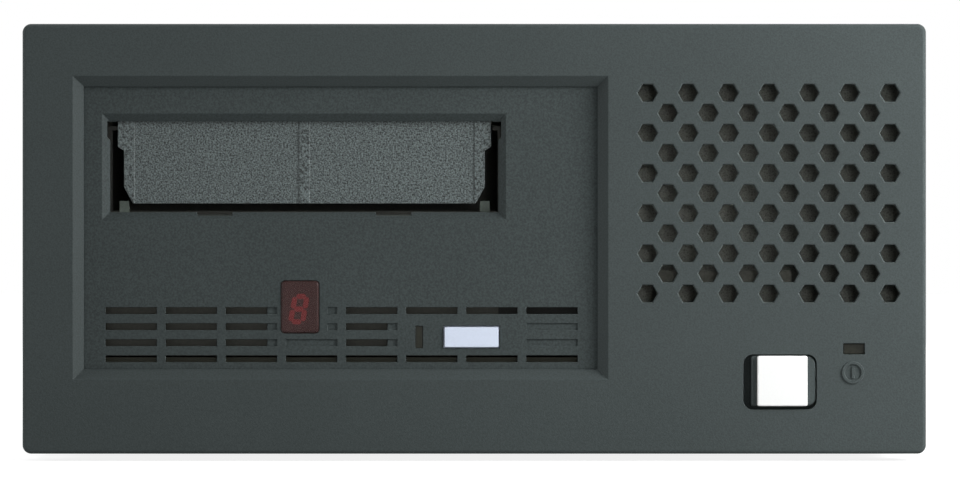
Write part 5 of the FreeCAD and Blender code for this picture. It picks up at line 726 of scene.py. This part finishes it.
@dataclass
class DriveFace:
    """The drive's plastic face with its door, display, lamp and unload key."""

    digit: SevenSegment = field(default_factory=SevenSegment)
    feeler_shaft: float = 2.3 * MM
    board_thick: float = 1.65 * MM

    def dress(self) -> None:
        """Gives the face and its pieces their finishes."""
        dress(["drive_bezel"], DRIVE_ABS, Softness.CRISP)
        dress(["slot_door"], DOOR_ABS, Softness.CRISP)
        dress(["unload_key"], LAVENDER_ABS, Softness.SMALL)
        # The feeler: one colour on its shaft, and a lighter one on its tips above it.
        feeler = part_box("cartridge_feeler")
        dress(["cartridge_feeler"], BandedFinish(
            "acetal_feeler_lighter_tips", "#424744", 0.45, mottle=0.12, second="#5f6a62",
            start=feeler[0][2] + self.feeler_shaft,
        ), Softness.SMALL)
        dress(["display_window"], DISPLAY_LENS, Softness.MOULDED)
        dress(["display_module"], DISPLAY_BODY)
        dress(["status_lamp_lens"], LAMP_LENS)
        dress(["door_spring"], STEEL_TURNED)
        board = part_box("front_panel_board")
        dress(["front_panel_board"], BandedFinish(
            "circuit_board_dark_panel", "#1c1c1c", 0.45, mottle=0.15, second="#42433b", axis=1,
            start=board[1][1] - self.board_thick,
        ))


@dataclass
class CrossScrew:
    """A pan-head screw with a cross recess, made once and copied to each place."""

    head_radius: float = 2.9 * MM
    head_high: float = 1.7 * MM
    dome: float = 0.95 * MM
    shank_radius: float = 1.4 * MM
    recess_long: float = 3.3 * MM
    recess_wide: float = 0.62 * MM
    recess_deep: float = 1.0 * MM
    head_sides: int = 40
    dome_steps: int = 5
    shank_sides: int = 24
    tip: float = 0.4
    tip_steps: int = 2

    def pattern(self, length: float) -> bpy.types.Object:
        """One screw, head up, with its seat at the origin.

        Args:
            length: Length of the shank in metres.

        Returns:
            The pattern object.
        """
        head = rod(
            Vector((0, 0, self.head_high / 2)), self.head_radius, self.head_high, self.head_sides
        )

        def at_crown(edge: bmesh.types.BMEdge) -> bool:
            """Whether an edge is on the head's top rim."""
            return all(vertex.co.z > self.head_high * NEAR_END for vertex in edge.verts)

        bevel_edges(head, self.dome, self.dome_steps, at_crown)
        floor = self.head_high - self.recess_deep
        for wide, long in (
            (self.recess_wide, self.recess_long), (self.recess_long, self.recess_wide)
        ):
            carve(head, block(
                (-wide / 2, -long / 2, floor), (wide / 2, long / 2, self.head_high * 2)
            ))
        shank = rod(Vector((0, 0, -length / 2)), self.shank_radius, length, self.shank_sides)

        def at_tip(edge: bmesh.types.BMEdge) -> bool:
            """Whether an edge is on the shank's free end."""
            return all(vertex.co.z < -length * NEAR_END for vertex in edge.verts)

        bevel_edges(shank, self.shank_radius * self.tip, self.tip_steps, at_tip)
        return join([head, shank])

    def build(self, node: str, name: str) -> None:
        """Replaces a CAD node of plain screws.

        Args:
            node: The CAD node.
            name: The name of the piece that stands for it.
        """
        places = islands(node)
        low, high = places[0]
        length = max(high - low) - self.head_high
        pattern = self.pattern(length)
        screws = []
        for low, high in places:
            size = high - low
            axis = max(range(3), key=lambda i: size[i])
            middle = (low + high) / 2
            seat = middle.copy()
            if axis == 0:
                side = 1.0 if middle.x > self.middle_of(node) else -1.0
                seat.x = (high.x if side > 0 else low.x) - side * self.head_high
                turn = (0.0, side * math.pi / 2, 0.0)
            elif axis == 1:
                seat.y = high.y - self.head_high
                turn = (-math.pi / 2, 0.0, 0.0)
            else:
                seat.z = low.z + self.head_high
                turn = (math.pi, 0.0, 0.0)
            screws.append(copy_to(pattern, seat, turn))
        bpy.data.objects.remove(pattern)
        made = finish_piece(join(screws), name, "case", STEEL_PLATED)
        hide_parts(node)

    @staticmethod
    def middle_of(node: str) -> float:
        """The middle of a node's box along X."""
        low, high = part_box(node)
        return (low[0] + high[0]) / 2


@dataclass
class SteelCase:
    """Steel tray and cover, rubber feet and the screws that hold them."""

    screw: CrossScrew = field(default_factory=CrossScrew)

    def dress(self) -> None:
        """Gives tray, cover and feet their finishes."""
        dress(["top_cover"], POWDER_COAT)
        dress(["base_tray"], POWDER_COAT)
        dress(["rubber_feet"], RUBBER, Softness.MOULDED)
        self.screw.build("case_screws", "case_screws_cross")
        self.screw.build("drive_screws", "drive_screws_cross")


@dataclass
class BackPanel:
    """Fan and guard, mains inlet, data connectors and address selector."""

    contact_pitch: float = 1.0 * MM
    contact_count: int = 34
    contact_wide: float = 0.5 * MM
    contact_thick: float = 0.16 * MM
    contact_long: float = 2.8 * MM
    tongue_half: float = 1.0 * MM
    tongue_back: float = 1.1 * MM
    dial_faces: int = 16
    numeral_high: float = 2.5 * MM
    mark_long: float = 2.4 * MM
    mark_wide: float = 0.6 * MM
    mark_proud: float = 0.12 * MM
    contact_edge: float = 0.6
    mark_edge: float = 0.5
    type_size: float = 1.35
    ink_thick: float = 0.03 * MM
    ink_lift: float = 0.01 * MM
    curve_steps: int = 4
    shell_deep: float = 3.3 * MM

    def contacts(self) -> None:
        """Rows of gilt strips above and below each connector's tongue."""
        shells = islands("data_connectors")
        half = self.contact_pitch * (self.contact_count - 1) / 2
        rows = []
        for low, high in shells:
            middle = (low + high) / 2
            end = high.y - self.tongue_back
            for side in (-1, 1):
                inner = middle.z + side * (self.tongue_half - self.contact_thick / 2)
                strip = block(
                    (middle.x - half - self.contact_wide / 2, end - self.contact_long,
                     inner - self.contact_thick),
                    (middle.x - half + self.contact_wide / 2, end, inner + self.contact_thick),
                )
                bevel_edges(strip, self.contact_thick * self.contact_edge, 1, lambda edge: all(
                    vertex.co.y > end - self.contact_thick for vertex in edge.verts
                ))
                apply_modifier(strip, "ARRAY", {
                    "count": self.contact_count, "use_relative_offset": False,
                    "use_constant_offset": True,
                    "constant_offset_displace": (self.contact_pitch, 0.0, 0.0),
                })
                rows.append(strip)
        made = finish_piece(join(rows), "data_contacts", "case", GOLD_CONTACT)

    def numerals(self) -> None:
        """The sixteen characters round the number wheel."""
        low, high = islands("selector_dial")[0]
        middle = (low + high) / 2
        radius = (high.z - low.z) / 2
        written = []
        for i, character in enumerate("0123456789ABCDEF"):
            clear_selection()
            bpy.ops.object.text_add(location=(0, 0, 0))
            text = bpy.context.object
            text.data.body = character
            text.data.size = self.numeral_high * self.type_size
            text.data.align_x = "CENTER"
            text.data.align_y = "CENTER"
            text.data.extrude = self.ink_thick
            text.data.resolution_u = self.curve_steps
            bpy.ops.object.convert(target="MESH")
            made = bpy.context.object
            angle = 2 * math.pi * i / self.dial_faces
            place = Vector((0.0, math.cos(angle), -math.sin(angle))) * (radius + self.ink_lift)
            made.matrix_world = self.facing_back(angle, middle + place)
            take(made)
            fix_place()
            written.append(made)
        made = finish_piece(join(written), "selector_numerals", "dial", DIAL_PRINT)

    @staticmethod
    def facing_back(angle: float, place: Vector) -> Matrix:
        """The place of a character that faces the back, turned round the wheel's axis.

        Args:
            angle: Turn about +X from facing straight back, in radians.
            place: Where the character's middle goes.

        Returns:
            The world matrix.
        """
        upright = Matrix.Rotation(math.pi, 4, "Z") @ Matrix.Rotation(math.pi / 2, 4, "X")
        return Matrix.Translation(place) @ Matrix.Rotation(-angle, 4, "X") @ upright

    def marks(self) -> None:
        """The plus and the minus on the selector's two keys."""
        for node, body, plus in (
            ("selector_key_up", "key_up", True), ("selector_key_down", "key_down", False)
        ):
            low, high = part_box(node)
            x, z = (low[0] + high[0]) / 2, (low[2] + high[2]) / 2
            half, thin, y = self.mark_long / 2, self.mark_wide / 2, high[1]
            bars = [block(
                (x - half, y - self.mark_proud, z - thin), (x + half, y + self.mark_proud, z + thin)
            )]
            if plus:
                bars.append(block(
                    (x - thin, y - self.mark_proud, z - half),
                    (x + thin, y + self.mark_proud, z + half),
                ))
            for bar in bars:
                bevel_edges(bar, self.mark_proud * self.mark_edge, 1, lambda edge: True)
            made = finish_piece(join(bars), f"{node}_mark", body, DIAL_PRINT)

    def dress(self) -> None:
        """Gives the back panel's pieces their finishes and adds the fine ones."""
        dress(["fan_frame"], BLACK_NYLON, Softness.MOULDED)
        dress(["fan_rotor"], BLACK_NYLON)
        dress(["fan_guard"], CHROMED_WIRE)
        dress(["mains_inlet"], BLACK_NYLON, Softness.MOULDED)
        dress(["inlet_pins"], TINNED_BRASS, Softness.SMALL)
        dress(["data_connectors"], BandedFinish(
            "connector_shell_steel_and_nylon", "#1a1a1a", 0.35, second="#a7a9a8", axis=1,
            start=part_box("base_tray")[1][1] - self.shell_deep,
        ))
        dress(["jack_posts"], STEEL_TURNED, Softness.SMALL)
        dress(["selector_body"], BLACK_NYLON, Softness.SMALL)
        dress(["selector_dial"], NATURAL_ACETAL)
        dress(["selector_key_up", "selector_key_down"], NATURAL_ACETAL, Softness.SMALL)
        self.contacts()
        self.numerals()
        self.marks()


@dataclass
class PowerSupply:
    """The power supply's channel and board, the leads and the ribbon cable."""

    board_thick: float = 1.7 * MM
    ribbon_pitch_mm: float = 0.635
    # Where each half pitch turns from the lighter ridge to the painted groove shade.
    groove_shade_from: float = 0.3 * MM

    def dress(self) -> None:
        """Gives the supply, the leads and the cable their finishes."""
        dress(["supply_channel"], SHEET_ALUMINIUM)
        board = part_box("supply_board")
        dress(["supply_board"], BandedFinish(
            "circuit_board_with_parts", "#8a6a32", 0.5, second="#26292b",
            start=board[0][2] + self.board_thick,
        ))
        dress(["internal_leads"], Finish("pvc_lead_black", "#1b1b1d", 0.45))
        # Darker stripes between lighter ones along the ribbon: painted shade in the grooves between
        # its ridges.
        dress(["data_cable"], BandedFinish(
            "pvc_ribbon_grey_groove_shade", "#8f9295", 0.5, second="#7c7f83", axis=0,
            stripe_mm=self.ribbon_pitch_mm, start=self.groove_shade_from,
        ))


@dataclass
class DriveWorks:
    """The drive's frame, boards, loader and tape path."""

    board_thick: float = 1.62 * MM

    def dress(self) -> None:
        """Gives the drive's inner pieces their finishes."""
        # The casting's near black is painted shade for the drive's dark inside.
        dress(["drive_frame"], CAST_BLACK_SHADE)
        dress(["head_base", "head_carriage"], CAST_ALUMINIUM)
        dress(["drive_top_cover", "drive_bottom_cover", "drive_brackets"], ZINC_SHEET)
        dress(["lift_frame", "cam_plates"], PHOSPHATED)
        dress(["cam_shaft"], STEEL_TURNED)
        dress(["cartridge_tray"], TRAY_ABS, Softness.SMALL)
        dress(["loader_motor", "reel_motors", "threader_motor"], STEEL_PLATED)
        dress(["loader_pinion", "threader_pinion"], CUT_BRASS)
        dress(["threader_arm", "takeup_reel", "reel_clutch"], NATURAL_ACETAL)
        dress([f"guide_roller_{i}" for i in range(1, 5)], STEEL_TURNED)
        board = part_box("logic_board")
        dress(["logic_board"], BandedFinish(
            "circuit_board_dark_logic", "#545549", 0.45, second="#202223",
            start=board[0][2] + self.board_thick,
        ))


@dataclass(frozen=True)
class Lamp:
    """A soft square lamp that points at the object.

    Its place and side are in metres and its power in watts. Shiny surfaces mirror it or not.
    """

    name: str
    place: tuple[float, float, float]
    side: float
    power: float
    mirrored: bool = True

    def stand(self, aim: Vector) -> None:
        """Adds the lamp to the scene, turned to a point."""
        data = bpy.data.lights.new(self.name, "AREA")
        data.size = self.side
        data.energy = self.power
        lamp = bpy.data.objects.new(self.name, data)
        lamp.location = self.place
        lamp.visible_glossy = self.mirrored
        lamp.rotation_euler = (aim - Vector(self.place)).to_track_quat("-Z", "Y").to_euler()
        bpy.context.scene.collection.objects.link(lamp)


# A near lamp at the right gives the front its rise in brightness; the others fill in.
LAMPS = (
    Lamp("lamp_key", (0.36, -0.36, 0.21), 0.2, 2.0),
    Lamp("lamp_front", (0.1, -2.3, 0.1), 0.12, 4.3, mirrored=False),
    Lamp("lamp_top", (0.0, 0.35, 1.5), 0.8, 8.6),
    Lamp("lamp_left", (-1.4, -0.25, 0.5), 0.8, 8.6),
    Lamp("lamp_right", (1.4, -0.25, 0.5), 0.8, 8.6),
    Lamp("lamp_back", (0.5, 1.7, 0.8), 0.8, 10.9),
)


@dataclass
class Studio:
    """Floor, lamps, world and camera."""

    frame_wide: float = 960.0
    scale: float = 0.27419 * MM
    middle_x: float = 1.58 * MM
    middle_z: float = 59.85 * MM
    distance: float = 1.9
    sensor: float = 36.0
    far_clip: float = 50.0
    aim_high: float = 0.06
    floor_half: float = 6.0
    floor_drop: float = 0.02 * MM
    near_radius: float = 0.3
    far_radius: float = 1.3
    floor_colour: str = "#a8a8a8"
    floor_near: float = 0.84
    floor_far: float = 0.95
    ambient: float = 0.17

    def background(self, tree: bpy.types.NodeTree) -> bpy.types.NodeSocket:
        """How much of what looks is the camera, a mirror or clear plastic."""
        path = add_node(tree, "ShaderNodeLightPath")
        first = add_node(tree, "ShaderNodeMath", {"operation": "MAXIMUM"})
        tree.links.new(path.outputs["Is Camera Ray"], first.inputs[0])
        tree.links.new(path.outputs["Is Glossy Ray"], first.inputs[1])
        both = add_node(tree, "ShaderNodeMath", {"operation": "MAXIMUM"})
        tree.links.new(first.outputs[0], both.inputs[0])
        tree.links.new(path.outputs["Is Transmission Ray"], both.inputs[1])
        return both.outputs[0]

    def world(self) -> None:
        """A white background with a gentle even light."""
        world = bpy.data.worlds.new("studio")
        world.use_nodes = True
        tree = world.node_tree
        tree.nodes.clear()
        seen = add_node(tree, "ShaderNodeBackground", {"Color": (1, 1, 1, 1), "Strength": 1.0})
        lit = add_node(
            tree, "ShaderNodeBackground", {"Color": (1, 1, 1, 1), "Strength": self.ambient}
        )
        mix = add_node(tree, "ShaderNodeMixShader", links={"Fac": self.background(tree)})
        tree.links.new(lit.outputs[0], mix.inputs[1])
        tree.links.new(seen.outputs[0], mix.inputs[2])
        add_node(tree, "ShaderNodeOutputWorld", links={"Surface": mix.outputs[0]})
        bpy.context.scene.world = world

    def floor(self) -> None:
        """A pale floor that looks white to the camera and takes the object's shadow."""
        clear_selection()
        bpy.ops.mesh.primitive_plane_add(size=2 * self.floor_half, location=(0, 0, -self.floor_drop))
        floor = bpy.context.object
        floor.name = "studio_floor"
        fix_place()
        material = bpy.data.materials.new("studio_floor_matt")
        material.use_nodes = True
        tree = material.node_tree
        tree.nodes.clear()
        matt = add_node(tree, "ShaderNodeBsdfDiffuse", {"Color": linear(self.floor_colour)})
        place = add_node(tree, "ShaderNodeTexCoord")
        away = add_node(
            tree, "ShaderNodeVectorMath", {"operation": "LENGTH"},
            {"Vector": place.outputs["Object"]},
        )
        level = add_node(tree, "ShaderNodeMapRange", {
            "From Min": self.near_radius, "From Max": self.far_radius,
            "To Min": self.floor_near, "To Max": self.floor_far,
        }, {"Value": away.outputs["Value"]})
        glow = add_node(
            tree, "ShaderNodeEmission", links={"Strength": level.outputs["Result"]}
        )
        share = add_node(tree, "ShaderNodeMixShader", links={"Fac": self.background(tree)})
        tree.links.new(glow.outputs[0], share.inputs[2])
        both = add_node(tree, "ShaderNodeAddShader")
        tree.links.new(matt.outputs[0], both.inputs[0])
        tree.links.new(share.outputs[0], both.inputs[1])
        add_node(tree, "ShaderNodeOutputMaterial", links={"Surface": both.outputs[0]})
        floor.data.materials.append(material)

    def camera(self) -> None:
        """Stands the camera level, square to the front at half its height."""
        front = CAD_BOX[0][1]
        data = bpy.data.cameras.new("camera")
        data.sensor_width = self.sensor
        data.lens = self.sensor * self.distance / (self.frame_wide * self.scale)
        data.clip_end = self.far_clip
        camera = bpy.data.objects.new("camera", data)
        camera.location = (self.middle_x, front - self.distance, self.middle_z)
        camera.rotation_euler = (math.pi / 2, 0.0, 0.0)
        bpy.context.scene.collection.objects.link(camera)
        bpy.context.scene.camera = camera

    def build(self) -> None:
        """Sets up the whole studio."""
        self.world()
        self.floor()
        for lamp in LAMPS:
            lamp.stand(Vector((0, 0, self.aim_high)))
        self.camera()
        bpy.context.scene.view_settings.view_transform = "Standard"


def main() -> None:
    """Builds and dresses each sub-assembly in order."""
    logging.basicConfig(level=logging.INFO, format="%(message)s")
    PlasticFront().dress()
    power = PowerControls()
    power.dress()
    power.return_coil()
    face = DriveFace()
    face.dress()
    face.digit.build()
    SteelCase().dress()
    BackPanel().dress()
    PowerSupply().dress()
    DriveWorks().dress()
    Studio().build()


if __name__ == "__main__":
    main()
